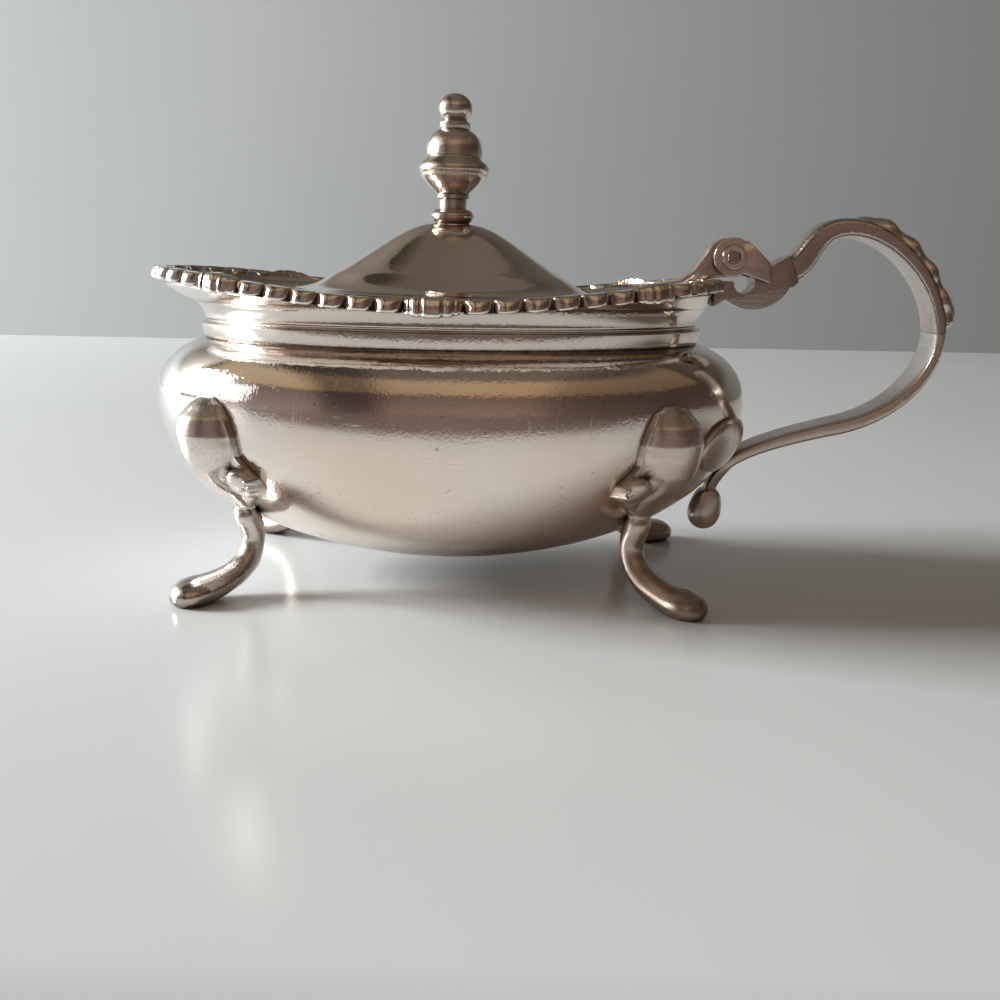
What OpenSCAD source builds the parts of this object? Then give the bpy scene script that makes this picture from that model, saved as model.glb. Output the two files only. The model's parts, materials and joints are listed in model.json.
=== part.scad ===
// Oval mustard pot on four cast legs, with a hinged cover, a scroll handle and a glass liner.
// Millimetres, +Z up, +X towards the handle, soles on Z = 0, origin under the middle of the whole pot.

/* [Bowl] */
// Length of the bowl at the belly
bowl_length = 76.6; // [73:0.2:81]
// Width of the bowl at the belly
bowl_width = 51.6; // [48:0.2:56]
// Gap between the table and the underside of the bowl
bowl_clearance = 2.6; // [2:0.1:4]
// Height of the belly above the underside of the bowl
belly_rise = 21.2; // [20:0.1:23]
// Height of the shoulder between the belly and the neck
shoulder_rise = 7.9; // [7:0.1:9]
// Length of the neck
neck_length = 63.8; // [62:0.1:65]
// Height of the reed round the neck
reed_height = 1.5; // [1.2:0.1:1.8]
// How far the reed stands out
reed_depth = 0.5; // [0.3:0.05:0.7]
// Height of the coved band above the reed
band_height = 2.6; // [2:0.1:3]
// How far the band sweeps out at its top
band_flare = 1.1; // [0.7:0.1:1.2]
// Wall of the bowl
bowl_wall = 1; // [0.8:0.1:1.4]
// Width of the ledge round the mouth, from the outside of the neck
ledge_width = 2.6; // [2.2:0.1:3]

/* [Rim] */
// Overhang of the rim along the two long sides
side_overhang = 4.7; // [4:0.1:5.5]
// Overhang of the rim at the end away from the handle
front_overhang = 6.5; // [6:0.1:8]
// Overhang of the rim at the hinge
hinge_overhang = 3.3; // [3:0.1:4]
// Height of the rim's edge above the neck, along the long sides
edge_height = 0.45; // [0.3:0.05:1]
// Rise of the rim's edge at the end away from the handle
front_rise = 3.1; // [2:0.1:3.5]
// Rise of the rim's edge at the hinge
hinge_rise = 2.5; // [1.5:0.1:2.6]
// Thickness of the rim's flange
rim_thickness = 0.9; // [0.7:0.05:1.1]
// Wall of the rim's collar, where it stands on the neck
collar_wall = 1.2; // [1:0.1:1.4]
// Width of the gadroon border
border_width = 1.6; // [1.2:0.1:2]
// Height of the gadroon border
border_height = 1.55; // [1.2:0.05:1.8]
// Lobes between a side leaf and a corner leaf
side_lobes = 6; // [4:1:9]
// Lobes round the end away from the handle
front_lobes = 11; // [9:1:13]
// Lobes between a corner leaf and the hinge
hinge_lobes = 4; // [3:1:6]

/* [Cover] */
// Angle at which the closed cover stands
cover_tilt = 1.2; // [0.8:0.1:2]
// Gap between the edge of the cover and the rim's collar
cover_gap = 0.6; // [0.4:0.05:0.8]
// Height of the closed cover's brim above the liner
brim_lift = 0.35; // [0.3:0.05:0.6]
// Thickness of the cover
cover_thickness = 0.85; // [0.7:0.05:1]
// Height of the dome above the brim
dome_height = 7.4; // [6:0.1:9]
// Half length of the dome's foot
dome_foot = 21; // [19:0.5:23]
// Radius of the round seat for the finial
seat_radius = 2.5; // [2.2:0.1:2.7]
// Radius of the finial's stud
stud_radius = 0.9; // [0.7:0.05:1.1]
// Height of the finial above its seat
finial_height = 15.9; // [13:0.1:18]
// Radius of the finial's belt
finial_radius = 4.5; // [3.8:0.1:5]

/* [Hinge] */
// Distance of the hinge pin outside the neck
pin_offset = 3.8; // [3.7:0.1:4.2]
// Height of the hinge pin above the neck
pin_height = 6.4; // [6.2:0.1:6.8]
// Radius of the hinge pin
pin_radius = 0.8; // [0.6:0.05:0.9]
// Outer radius of the cover's knuckle
knuckle_radius = 2.3; // [2.1:0.05:2.4]
// Width over the two cheeks
hinge_width = 7; // [6.5:0.1:8]
// Thickness of a cheek
cheek_thickness = 0.9; // [0.7:0.05:1.1]
// Radius of a washer on the pin
washer_radius = 1.45; // [1.2:0.05:1.6]
// Thickness of a washer
washer_thickness = 0.35; // [0.25:0.05:0.5]

/* [Handle] */
// Reach of the handle beyond the hinge pin
handle_reach = 26.7; // [25:0.1:29]
// Height of the handle's crest above the hinge pin
crest_height = 3.85; // [2.5:0.05:5]
// Width of the strap
strap_width = 6.8; // [5.5:0.1:7.4]
// Thickness of the strap
strap_thickness = 1.5; // [1.2:0.1:1.8]
// Thickness of the leaf on the strap
leaf_thickness = 0.75; // [0.5:0.05:1]
// Length of the drop below the strap's foot
drop_length = 5.4; // [4.5:0.1:6.5]

/* [Legs] */
// Place of the legs round the oval, from the long axis
leg_spread = 40; // [37:0.5:43]
// Direction in which a foot points, from the long axis
leg_turn = 45; // [40:1:50]
// Length of the foot from the ankle to the toe
foot_length = 11.2; // [10:0.1:12.5]
// Height of the ankle
ankle_height = 6.8; // [6.2:0.1:7.4]
// Height of the knee above the bowl
knee_height = 3.4; // [3:0.1:4]
// Half width of the knee
knee_half_width = 3.6; // [3:0.1:3.9]

/* [Liner] */
// Wall of the glass liner
glass_wall = 1.6; // [1.2:0.1:2]
// Thickness of the liner's rim
glass_rim = 0.65; // [0.5:0.05:0.8]
// Gap between the liner's underside and the bowl's inside
glass_clearance = 3; // [2:0.1:4]
// Gap between the liner's rim and the rim's collar
liner_gap = 0.4; // [0.3:0.05:0.6]
// Gap between the liner's body and the ledge that carries it
ledge_gap = 0.6; // [0.4:0.05:1]

/* [Fits] */
// Layer of solder between pieces that are soldered together
solder = 0.04; // [0.03:0.01:0.06]
// Radial clearance of the moving knuckle on its pin
running_gap = 0.06; // [0.04:0.01:0.09]
// Radial clearance of the pin in the fixed cheeks
rivet_gap = 0.02; // [0.01:0.01:0.03]
// Clearance at each side of the knuckle
side_gap = 0.25; // [0.2:0.05:0.35]

/* [Hidden] */

silver = [0.80, 0.77, 0.72];
worn_silver = [0.70, 0.66, 0.61];
dark_silver = [0.52, 0.48, 0.44];
cobalt = [0.06, 0.10, 0.45];

$fn = 96;
smooth_steps = 14;

// Heights and half lengths of the bowl
belly_z = bowl_clearance + belly_rise;
groove_z = belly_z + shoulder_rise;
reed_z = groove_z + reed_height;
neck_z = reed_z + band_height;
belly_a = bowl_length / 2;
neck_a = neck_length / 2;
ledge_a = neck_a - ledge_width;
ledge_thickness = 0.9;
oval = bowl_width / bowl_length;
mouth_a = neck_a - collar_wall;
mouth_oval = (neck_a * oval - collar_wall) / mouth_a;
side_power = 2.2;
bottom_power = 1.85;
shoulder_fall = 0.066;

// Hinge pin, in the plane Y = 0
pin_x = neck_a + pin_offset;
pin_z = neck_z + pin_height;
knuckle_half = hinge_width / 2 - cheek_thickness - side_gap;
block_half = hinge_width / 2 - cheek_thickness - solder;

// Rim
flange_reach_hinge = hinge_overhang - border_width;
flange_end_x = neck_a + flange_reach_hinge;

// Liner and cover, before the cover is tilted about its pin
liner_z = neck_z + solder + glass_rim;
liner_a = mouth_a - liner_gap;
brim_z = liner_z + brim_lift;
brim_top = brim_z + cover_thickness;
cover_a = mouth_a - cover_gap;
dome_z = brim_top + dome_height;
seat_rise = 0.05;
seat_z = dome_z + seat_rise;
boss_drop = 0.7;
boss_z = dome_z - cover_thickness - boss_drop;
nut_height = 1.1;
nut_radius = 2.1;
stud_tip = 0.7;

// Handle: the strap's middle line in the plane Y = 0
strap_out = 7.9;
strap_drop = 1.3;
crest_out = 14.5;
seam_drop = 9;
sag_out = 14.8;
sag_drop = 21.4;
foot_drop = 8;
strap_start = [pin_x + strap_out, pin_z - strap_drop];
crest = [pin_x + crest_out, pin_z + crest_height];
seam = [pin_x + handle_reach, pin_z - seam_drop];
sag = [pin_x + sag_out, pin_z - sag_drop];
foot_z = belly_z - foot_drop;
start_pull = [2.2, 0.9];
crest_pull_in = [4.6, 0];
upper_bow = [strap_start, strap_start + start_pull, crest - crest_pull_in, crest];
strap_root = 1.15;
strap_crest = 0.8;
strap_end = 0.5;
strap_sag = 0.62;
knob_radius = 1.1;

// The whole pot is centred on the origin along X
left_x = -(neck_a + front_overhang);
right_x = seam[0] + strap_thickness / 2 + leaf_thickness + knob_radius * 0.5;
middle_x = (left_x + right_x) / 2;

// Curves

function bezier(p, t) =
    pow(1 - t, 3) * p[0] + 3 * pow(1 - t, 2) * t * p[1] + 3 * (1 - t) * t * t * p[2] + t * t * t * p[3];

function bezier_points(p, steps, first = 0) = [for (i = [first:steps]) bezier(p, i / steps)];

function unit(v) = v / norm(v);

function reversed(list) = [for (i = [len(list) - 1:-1:0]) list[i]];

// Lower half of the bowl, from the axis out to the belly
function belly_curve(a, h, steps, first = 0) = [
    for (i = [first:steps])
        let (t = 90 * i / steps)
        [a * pow(sin(t), 2 / bottom_power), belly_z - h * pow(cos(t), 2 / side_power)]
];

// Half length of the bowl's outside at a height below the belly, or a little above it
function bowl_at(z) = z > belly_z
    ? belly_a - shoulder_fall * pow(z - belly_z, 2)
    : belly_a * pow(1 - pow((belly_z - z) / belly_rise, side_power), 1 / bottom_power);

// Outward normal of the bowl's end at a height, in the plane Y = 0
function bowl_normal(z) = unit([1, (bowl_at(z - 0.1) - bowl_at(z + 0.1)) / 0.2]);

// Solid skin over a list of closed rings with equal numbers of points
module skin(rings, loop = false) {
    n = len(rings[0]);
    m = len(rings);
    last = (m - 1) * n;
    middle = function(ring) [for (k = [0:2]) [for (p = ring) p[k]] * [for (p = ring) 1 / n]];
    sides = [
        for (i = [0:(loop ? m - 1 : m - 2)], j = [0:n - 1])
            let (
                a = i * n + j,
                b = i * n + (j + 1) % n,
                c = ((i + 1) % m) * n + (j + 1) % n,
                d = ((i + 1) % m) * n + j
            )
            each [[a, b, c], [a, c, d]]
    ];
    caps = loop ? [] : [
        for (j = [0:n - 1])
            each [[m * n, (j + 1) % n, j], [m * n + 1, last + j, last + (j + 1) % n]]
    ];
    ends = loop ? [] : [middle(rings[0]), middle(rings[m - 1])];
    polyhedron(points = concat([for (r = rings) each r], ends), faces = concat(sides, caps), convexity = 6);
}

// Moves a piece from the bowl's axis to the common origin
module placed() {
    translate([-middle_x, 0, 0]) children();
}

// Turns the cover's pieces about the hinge pin to the angle at which the closed cover stands
module on_cover() {
    placed()
        translate([pin_x, 0, pin_z])
            rotate([0, cover_tilt, 0])
                translate([-pin_x, 0, -pin_z]) children();
}

// Extrudes an outline drawn in X and Z between two values of Y
module across(y0, y1) {
    translate([0, y1, 0]) rotate([90, 0, 0]) linear_extrude(y1 - y0) children();
}

// Turns an outline round the axis, pressed to the oval of the bowl or of its mouth
module turned_oval(outline, press = oval) {
    for (half = [0, 180])
        scale([1, press, 1])
            rotate([0, 0, half]) rotate_extrude(angle = 180) polygon(outline);
}

// Bowl

function shoulder(a, neck, top) = [
    [a, belly_z],
    [a, belly_z + (top - belly_z) * 0.52],
    [neck + (a - neck) * 0.6, top - (top - belly_z) * 0.14],
    [neck, top]
];

module bowl() {
    groove_depth = 0.2;
    groove_width = 0.6;
    cove_z = reed_z + groove_width;
    inner_top = groove_z - bowl_wall * 0.4;
    outside = concat(
        belly_curve(belly_a, belly_rise, smooth_steps),
        bezier_points(shoulder(belly_a, neck_a, groove_z), smooth_steps, 1),
        [for (i = [1:6]) [neck_a + reed_depth * sin(30 * i), groove_z + reed_height * i / 6]],
        [[neck_a - groove_depth, reed_z + groove_width / 2]],
        [for (i = [0:6]) [neck_a + band_flare * pow(i / 6, 2), cove_z + (neck_z - cove_z) * i / 6]]
    );
    mouth = [
        [ledge_a, neck_z],
        [ledge_a, neck_z - ledge_thickness],
        [neck_a - bowl_wall, neck_z - ledge_thickness]
    ];
    inside = concat(
        belly_curve(belly_a - bowl_wall, belly_rise - bowl_wall, smooth_steps),
        bezier_points(shoulder(belly_a - bowl_wall, neck_a - bowl_wall, inner_top), smooth_steps, 1)
    );
    color(silver)
        placed()
            turned_oval(concat(outside, mouth, reversed(inside)));
}

// Rim: a flared collar whose edge rises at both ends, followed by a lobed border and six leaves.
// A place on the rim is an angle that runs at an even pace along the edge.

function oval_angle(s) = s + 5 * sin(2 * s);

function bend(s, side, front, hinge) =
    let (c = cos(oval_angle(s)))
    side + (c < 0 ? (front - side) * pow(-c, 3) : (hinge - side) * pow(c, 4));

function overhang(s) = bend(s, side_overhang, front_overhang, hinge_overhang);

rise_power = 3.2;

function edge_z(s) =
    let (c = cos(oval_angle(s)))
    neck_z + edge_height + (c < 0 ? front_rise : hinge_rise) * (1 - pow(1 - c * c, rise_power / 2));

// Point at a distance outside the neck
function rim_point(s, out, z) =
    let (t = oval_angle(s))
    [(neck_a + out) * cos(t), (neck_a * oval + out) * sin(t), z];

root_lift = 0.06;
under_drop = 0.32;
under_out = 0.5;
collar_fillet = 0.3;
flare_out = 0.82;
flare_up = 0.42;

function collar_ring(s) =
    let (
        reach = overhang(s) - border_width,
        edge = edge_z(s) - rim_thickness / 2,
        under = edge - under_drop * (edge_z(s) - neck_z - edge_height),
        root = neck_z + solder + root_lift,
        sweep = reach - band_flare
    )
    [
        rim_point(s, -collar_wall, neck_z + solder),
        rim_point(s, band_flare, neck_z + solder),
        rim_point(s, band_flare + sweep * under_out * 0.4, root + (under - root) * flare_up * 0.3),
        rim_point(s, band_flare + sweep * under_out, root + (under - root) * flare_up),
        rim_point(s, reach, under),
        rim_point(s, reach, edge + rim_thickness),
        rim_point(s, reach * flare_out, root + (edge - root) * flare_up + rim_thickness),
        rim_point(s, collar_fillet, root + rim_thickness + 0.1),
        rim_point(s, -collar_wall * 0.6, root + rim_thickness * 0.8),
        rim_point(s, -collar_wall, root + rim_thickness * 0.45)
    ];

module rim_mount() {
    stations = 96;
    color(silver)
        placed()
            skin([for (i = [0:stations - 1]) collar_ring(i * 360 / stations)], loop = true);
}

// Upright rounded section on the edge of the flange, with a width and a height for its size
border_square = 0.6;

function border_ring(s, width, height) = [
    for (i = [0:6])
        let (
            t = -90 + 30 * i,
            out = width * pow(cos(t), border_square)
        )
        rim_point(s, overhang(s) - border_width + solder + out, edge_z(s) + height / 2 * sin(t))
];

side_leaf_half = 6.4;
corner_leaf_half = 5.2;
side_leaf_place = 90;
corner_leaf_place = 40.5;
hinge_end_place = 9;
leaf_gap = 0.15;

// Row of lobes from one place on the rim to another
module lobes(from, to, count) {
    lobe_steps = 6;
    skin([
        for (i = [0:count * lobe_steps])
            let (swell = pow(abs(sin(180 * i / lobe_steps)), 0.7))
            border_ring(
                from + (to - from) * i / (count * lobe_steps),
                border_width * (0.42 + 0.58 * swell),
                border_height * (0.78 + 0.22 * swell)
            )
    ]);
}

module gadroon_border() {
    side_end = side_leaf_place - side_leaf_half - leaf_gap;
    corner_in = corner_leaf_place + corner_leaf_half + leaf_gap;
    corner_out = corner_leaf_place - corner_leaf_half - leaf_gap;
    color(silver)
        placed() {
            for (back = [0, 1])
                mirror([0, back, 0]) {
                    lobes(side_leaf_place + side_leaf_half + leaf_gap, 180 - corner_in, side_lobes);
                    lobes(corner_in, side_end, side_lobes);
                    lobes(hinge_end_place, corner_out, hinge_lobes);
                }
            lobes(180 - corner_out, 180 + corner_out, front_lobes);
        }
}

// Leaf that breaks the border: a raised middle with a smaller lobe towards each end
module rim_leaf(place, half) {
    leaf_steps = 16;
    color(silver)
        placed()
            skin([
                for (i = [0:leaf_steps])
                    let (
                        u = 2 * i / leaf_steps - 1,
                        body = sqrt(max(0, 1 - u * u)),
                        rib = abs(cos(270 * u))
                    )
                    border_ring(
                        place + half * u,
                        border_width * (0.42 + 0.72 * body * (0.7 + 0.3 * rib)),
                        border_height * (0.7 + 0.72 * body * (0.75 + 0.25 * rib))
                    )
            ]);
}

module leaf_front() rim_leaf(-side_leaf_place, side_leaf_half);
module leaf_back() rim_leaf(side_leaf_place, side_leaf_half);
module leaf_front_left() rim_leaf(corner_leaf_place - 180, corner_leaf_half);
module leaf_back_left() rim_leaf(180 - corner_leaf_place, corner_leaf_half);
module leaf_front_right() rim_leaf(-corner_leaf_place, corner_leaf_half);
module leaf_back_right() rim_leaf(corner_leaf_place, corner_leaf_half);

// Legs: drawn for the corner at +X and +Y, and mirrored to the other corners.
// Along the bowl a leg is a shaped plate that follows the bowl. Below it runs free to the toe.

root_drop = 12.2;
root_z = belly_z - root_drop;
root_x = bowl_at(root_z) * cos(leg_spread);
root_y = bowl_at(root_z) * oval * sin(leg_spread);
plate_edge = 0.8;
front_points = 13;
back_points = 5;
plate_top = -1.4;
plate_end = 12.4;
ankle_in = 0.9;
knee_lean = 1.2;
lean_fade = 8;

// Place on a leg: distance out from its root, distance towards the middle of the long side, height
function leg_point(out, side, z) = [
    root_x + out * cos(leg_turn) - side * sin(leg_turn),
    root_y + out * sin(leg_turn) + side * cos(leg_turn),
    z
];

// Distance out from the root at which the bowl's surface lies
function bowl_out(side, z) =
    let (
        x = root_x - side * sin(leg_turn),
        y = (root_y + side * cos(leg_turn)) / oval,
        dx = cos(leg_turn),
        dy = sin(leg_turn) / oval,
        a = dx * dx + dy * dy,
        b = x * dx + y * dy,
        c = x * x + y * y - pow(bowl_at(z), 2)
    )
    (-b + sqrt(max(0, b * b - a * c))) / a;

// Shape of the plate by the drop below the belly: height and half width of the knee, and both edges
knee_rise = [[-1.4, 0.25], [-0.6, 0.5], [1, 0.8], [3, 0.97], [5, 1], [7, 0.97], [9, 0.8], [11, 0.5], [12.4, 0.36]];
knee_spread = [[-1.4, 0.3], [-0.6, 0.62], [1, 0.88], [3, 1], [5, 0.98], [7, 0.86], [9, 0.68], [12.4, 0.42]];
outer_edge = [[-1.4, 1], [-0.6, 2.3], [1, 3.3], [3, 3.95], [5, 4], [7, 3.6], [9, 2.9], [11, 2.1], [12.4, 1.6]];
inner_edge = [[-1.4, 1], [-0.6, 2.3], [1, 3.3], [3, 3.9], [5.5, 4], [6.8, 5], [8, 6], [9.4, 6.2],
    [10.4, 5.2], [11.4, 3], [12.4, 1.6]];
scroll_side = 4.2;
scroll_drop = 8.8;
scroll_radius = 2;
scroll_height = 1.7;

function plate_height(side, drop) =
    let (
        across_knee = side / (knee_half_width * lookup(drop, knee_spread)),
        knee = (knee_height * lookup(drop, knee_rise) - plate_edge * 0.5) * sqrt(max(0, 1 - pow(across_knee, 2))),
        away = norm([side - scroll_side, drop - scroll_drop]) / scroll_radius,
        scroll = scroll_height * sqrt(max(0, 1 - away * away)),
        edge = plate_edge * min(1, 0.3 + (drop - plate_top) / 3)
    )
    solder + edge + max(knee, scroll);

function plate_ring(drop) =
    let (
        z = belly_z - drop,
        low = -lookup(drop, outer_edge),
        high = lookup(drop, inner_edge),
        lean = knee_lean * min(1, (plate_end - drop) / lean_fade)
    )
    concat(
        [for (i = [0:front_points - 1])
            let (side = low + (high - low) * i / (front_points - 1))
            leg_point(bowl_out(side + lean, z) + plate_height(side, drop), side + lean, z)],
        [for (i = [0:back_points - 1])
            let (side = high + (low - high) * i / (back_points - 1))
            leg_point(bowl_out(side + lean, z) + solder, side + lean, z)]
    );

// Free part of a leg: distance out, height, direction from straight down, half thickness, half width
function shank(out, z, turn, thick, wide) = concat(
    [for (i = [0:front_points - 1])
        let (t = 180 - 180 * i / (front_points - 1))
        leg_point(out + thick * sin(t) * cos(turn), wide * cos(t), z + thick * sin(t) * sin(turn))],
    [for (i = [0:back_points - 1])
        let (t = -20 - 140 * i / (back_points - 1))
        leg_point(out + thick * sin(t) * cos(turn), wide * cos(t), z + thick * sin(t) * sin(turn))]
);

module leg(left, front) {
    plate_steps = 15;
    run = function(share) foot_length * share - ankle_in;
    rings = concat(
        [for (i = [0:plate_steps]) plate_ring(plate_top + (plate_end - plate_top) * i / plate_steps)],
        [
            shank(0, (root_z + ankle_height) / 2 + 1, -14, 1.5, 1.6),
            shank(run(0), ankle_height, -2, 1.4, 1.55),
            shank(run(0.06), ankle_height * 0.68, 32, 1.45, 1.65),
            shank(run(0.2), ankle_height * 0.46, 52, 1.5, 1.8),
            shank(run(0.385), ankle_height * 0.325, 68, 1.6, 2.05),
            shank(run(0.57), 1.7, 80, 1.75, 2.45),
            shank(run(0.74), 1.5, 88, 1.8, 2.75),
            shank(run(0.875), 1.35, 92, 1.6, 2.45),
            shank(run(0.96), 1.25, 94, 1.15, 1.7),
            shank(run(1), 1.2, 95, 0.6, 0.8)
        ]
    );
    span = bowl_length;
    color(worn_silver)
        placed()
            mirror([left, 0, 0])
                mirror([0, front, 0])
                    difference() {
                        skin(rings);
                        translate([0, 0, -span]) cube([span, span, span]);
                    }
}

module leg_front_left() leg(1, 1);
module leg_front_right() leg(0, 1);
module leg_back_left() leg(1, 0);
module leg_back_right() leg(0, 0);

// Hinge: a block with a beak that reaches under the pin to the rim, and a cheek on each side

beak_radius = 5.2;
beak_drop = 1.25;
beak_tip_drop = 3;
beak_tip_z = pin_z - beak_tip_drop;
beak_middle = [
    flange_end_x + solder + sqrt(pow(beak_radius, 2) - pow(beak_tip_z - pin_z + beak_drop, 2)),
    pin_z - beak_drop
];
beak_hollow = 1.3;
beak_hollow_out = 1.7;
beak_hollow_drop = 3.2;
beak_low = pin_z - 7;
toe = [flange_end_x + 1.4, neck_z + 1.05];
toe_root = neck_z + 0.25;
toe_in = 0.3;
knuckle_room = 0.7;
block_left = pin_x + knuckle_radius + knuckle_room;
block_dip = pin_x + 5.2;
block_drop = 0.9;
block_foot = 0.6;
block_end = strap_start - slope(upper_bow, 0) * solder;
strap_lift = [-slope(upper_bow, 0)[1], slope(upper_bow, 0)[0]] * strap_thickness * strap_root;

module hinge_block() {
    color(worn_silver)
        placed()
            across(-block_half, block_half)
                difference() {
                    union() {
                        intersection() {
                            translate(beak_middle) circle(beak_radius);
                            translate([flange_end_x, beak_low])
                                square([2 * beak_radius, beak_tip_z - beak_low]);
                        }
                        polygon([
                            [flange_end_x + solder, beak_tip_z],
                            [flange_end_x + solder, toe_root],
                            toe,
                            beak_middle - [beak_radius * toe_in, beak_radius * (1 - toe_in)]
                        ]);
                        polygon([
                            [block_left, beak_tip_z - block_foot],
                            [block_end[0], beak_tip_z - block_foot],
                            block_end - strap_lift,
                            block_end + strap_lift,
                            [block_dip, pin_z - block_drop],
                            [block_left, pin_z - block_drop]
                        ]);
                    }
                    translate([pin_x + beak_hollow_out, pin_z - beak_hollow_drop]) circle(beak_hollow);
                }
}

module cheek(y0) {
    cheek_margin = 0.15;
    foot_in = [1.1, -1.9];
    foot_out = [4.75, -3.1];
    shoulder_out = [4.65, -0.6];
    shoulder_up = [3.2, 0.8];
    crown_out = [1.7, 2.1];
    crown_in = [1.1, 1.4];
    pin = [pin_x, pin_z];
    color(worn_silver)
        placed()
            across(y0, y0 + cheek_thickness)
                difference() {
                    union() {
                        translate(pin) circle(knuckle_radius + cheek_margin);
                        polygon([
                            pin + foot_in,
                            pin + foot_out,
                            pin + shoulder_out,
                            pin + shoulder_up,
                            pin + crown_out,
                            pin + crown_in
                        ]);
                    }
                    translate(pin) circle(pin_radius + rivet_gap);
                }
}

module cheek_front() cheek(-hinge_width / 2);
module cheek_back() cheek(hinge_width / 2 - cheek_thickness);

module hinge_pin() {
    pin_half = hinge_width / 2 + solder + washer_thickness + 0.1;
    color(dark_silver)
        placed()
            across(-pin_half, pin_half)
                translate([pin_x, pin_z]) circle(pin_radius);
}

module hinge_washers() {
    color(silver)
        placed()
            for (side = [-1, 1])
                translate([0, side * (hinge_width / 2 + solder + washer_thickness / 2), 0])
                    across(-washer_thickness / 2, washer_thickness / 2)
                        translate([pin_x, pin_z])
                            difference() {
                                circle(washer_radius);
                                circle(pin_radius + rivet_gap);
                            }
}

// Handle: a strap bent along the middle line, soldered together from an upper and a lower length

crest_pull_out = [5.8, 0];
seam_pull_up = [-0.2, 6.4];
seam_pull_down = [0.2, -5.8];
sag_pull_out = [6.9, 1.6];
sag_pull_in = [5.6, 1.3];
heel_pull = 2.6;
tail_run = 3.2;
tail_fall = [0.1, -0.8];
upper_turn = [crest, crest + crest_pull_out, seam + seam_pull_up, seam];
lower_turn = [seam, seam + seam_pull_down, sag + sag_pull_out, sag];
heel = [bowl_at(foot_z), foot_z] + bowl_normal(foot_z) * (strap_thickness / 2 + 2 * solder);
along_bowl = [bowl_normal(foot_z)[1], -bowl_normal(foot_z)[0]];
lower_run = [sag, sag - sag_pull_in, heel - along_bowl * heel_pull, heel];
drop_top = heel + along_bowl * tail_run + tail_fall;

function slope(p, t) = unit(bezier(p, min(1, t + 0.01)) - bezier(p, max(0, t - 0.01)));

// Flat section with rounded corners, square to the middle line
function strap_ring(p, t, half_width, half_thickness, corner = 0.45) =
    let (
        at = bezier(p, t),
        along = slope(p, t),
        out = [-along[1], along[0]]
    )
    [
        for (i = [11:-1:0])
            let (
                c = cos(30 * i + 15),
                s = sin(30 * i + 15),
                w = half_width * sign(c) * pow(abs(c), corner),
                h = half_thickness * sign(s) * pow(abs(s), corner)
            )
            [at[0] + out[0] * h, w, at[1] + out[1] * h]
    ];

strap_steps = 14;
half_strap = strap_width / 2;

// Half thickness of the strap between its crest and its seam
function turn_half(t) = strap_thickness * (strap_crest + (strap_end - strap_crest) * t);

module handle_upper() {
    color(worn_silver)
        placed()
            skin(concat(
                [for (i = [0:strap_steps])
                    let (t = i / strap_steps)
                    strap_ring(upper_bow, t, half_strap * (0.78 + 0.18 * t),
                        strap_thickness * (strap_root + (strap_crest - strap_root) * t))],
                [for (i = [1:strap_steps])
                    let (t = i / strap_steps)
                    strap_ring(upper_turn, t, half_strap * (0.96 + 0.04 * t), turn_half(t))]
            ));
}

// Leaf on the outside of the strap, with a scalloped edge and a knob at its tip
function leaf_ring(t) =
    let (
        u = (t - leaf_from) / (leaf_to - leaf_from),
        at = bezier(upper_turn, t),
        along = slope(upper_turn, t),
        out = [-along[1], along[0]],
        scallop = 0.5 + 0.5 * cos(360 * leaf_scallops * u),
        opening = sin(90 * min(1, u / leaf_opening)),
        closing = sin(90 * min(1, (1 - u) / leaf_closing)),
        w = half_strap * (0.9 + 0.1 * scallop) * (0.3 + 0.7 * opening) * (0.45 + 0.55 * closing),
        knob = knob_radius * 0.75 * exp(-pow((u - 0.89) / 0.055, 2)),
        h = leaf_thickness * (1.25 + 0.55 * scallop) * (0.15 + 0.85 * opening) * (0.3 + 0.7 * closing) + knob
    )
    [
        for (i = [6:-1:0])
            let (
                c = cos(30 * i),
                up = turn_half(t) + solder + h * sin(30 * i)
            )
            [at[0] + out[0] * up, w * c, at[1] + out[1] * up]
    ];

leaf_from = 0.06;
leaf_to = 0.985;
leaf_scallops = 5;
leaf_opening = 0.16;
leaf_closing = 0.06;
leaf_steps = 36;

module handle_leaf() {
    color(worn_silver)
        placed()
            skin([for (i = [0:leaf_steps]) leaf_ring(leaf_from + (leaf_to - leaf_from) * i / leaf_steps)]);
}

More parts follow.
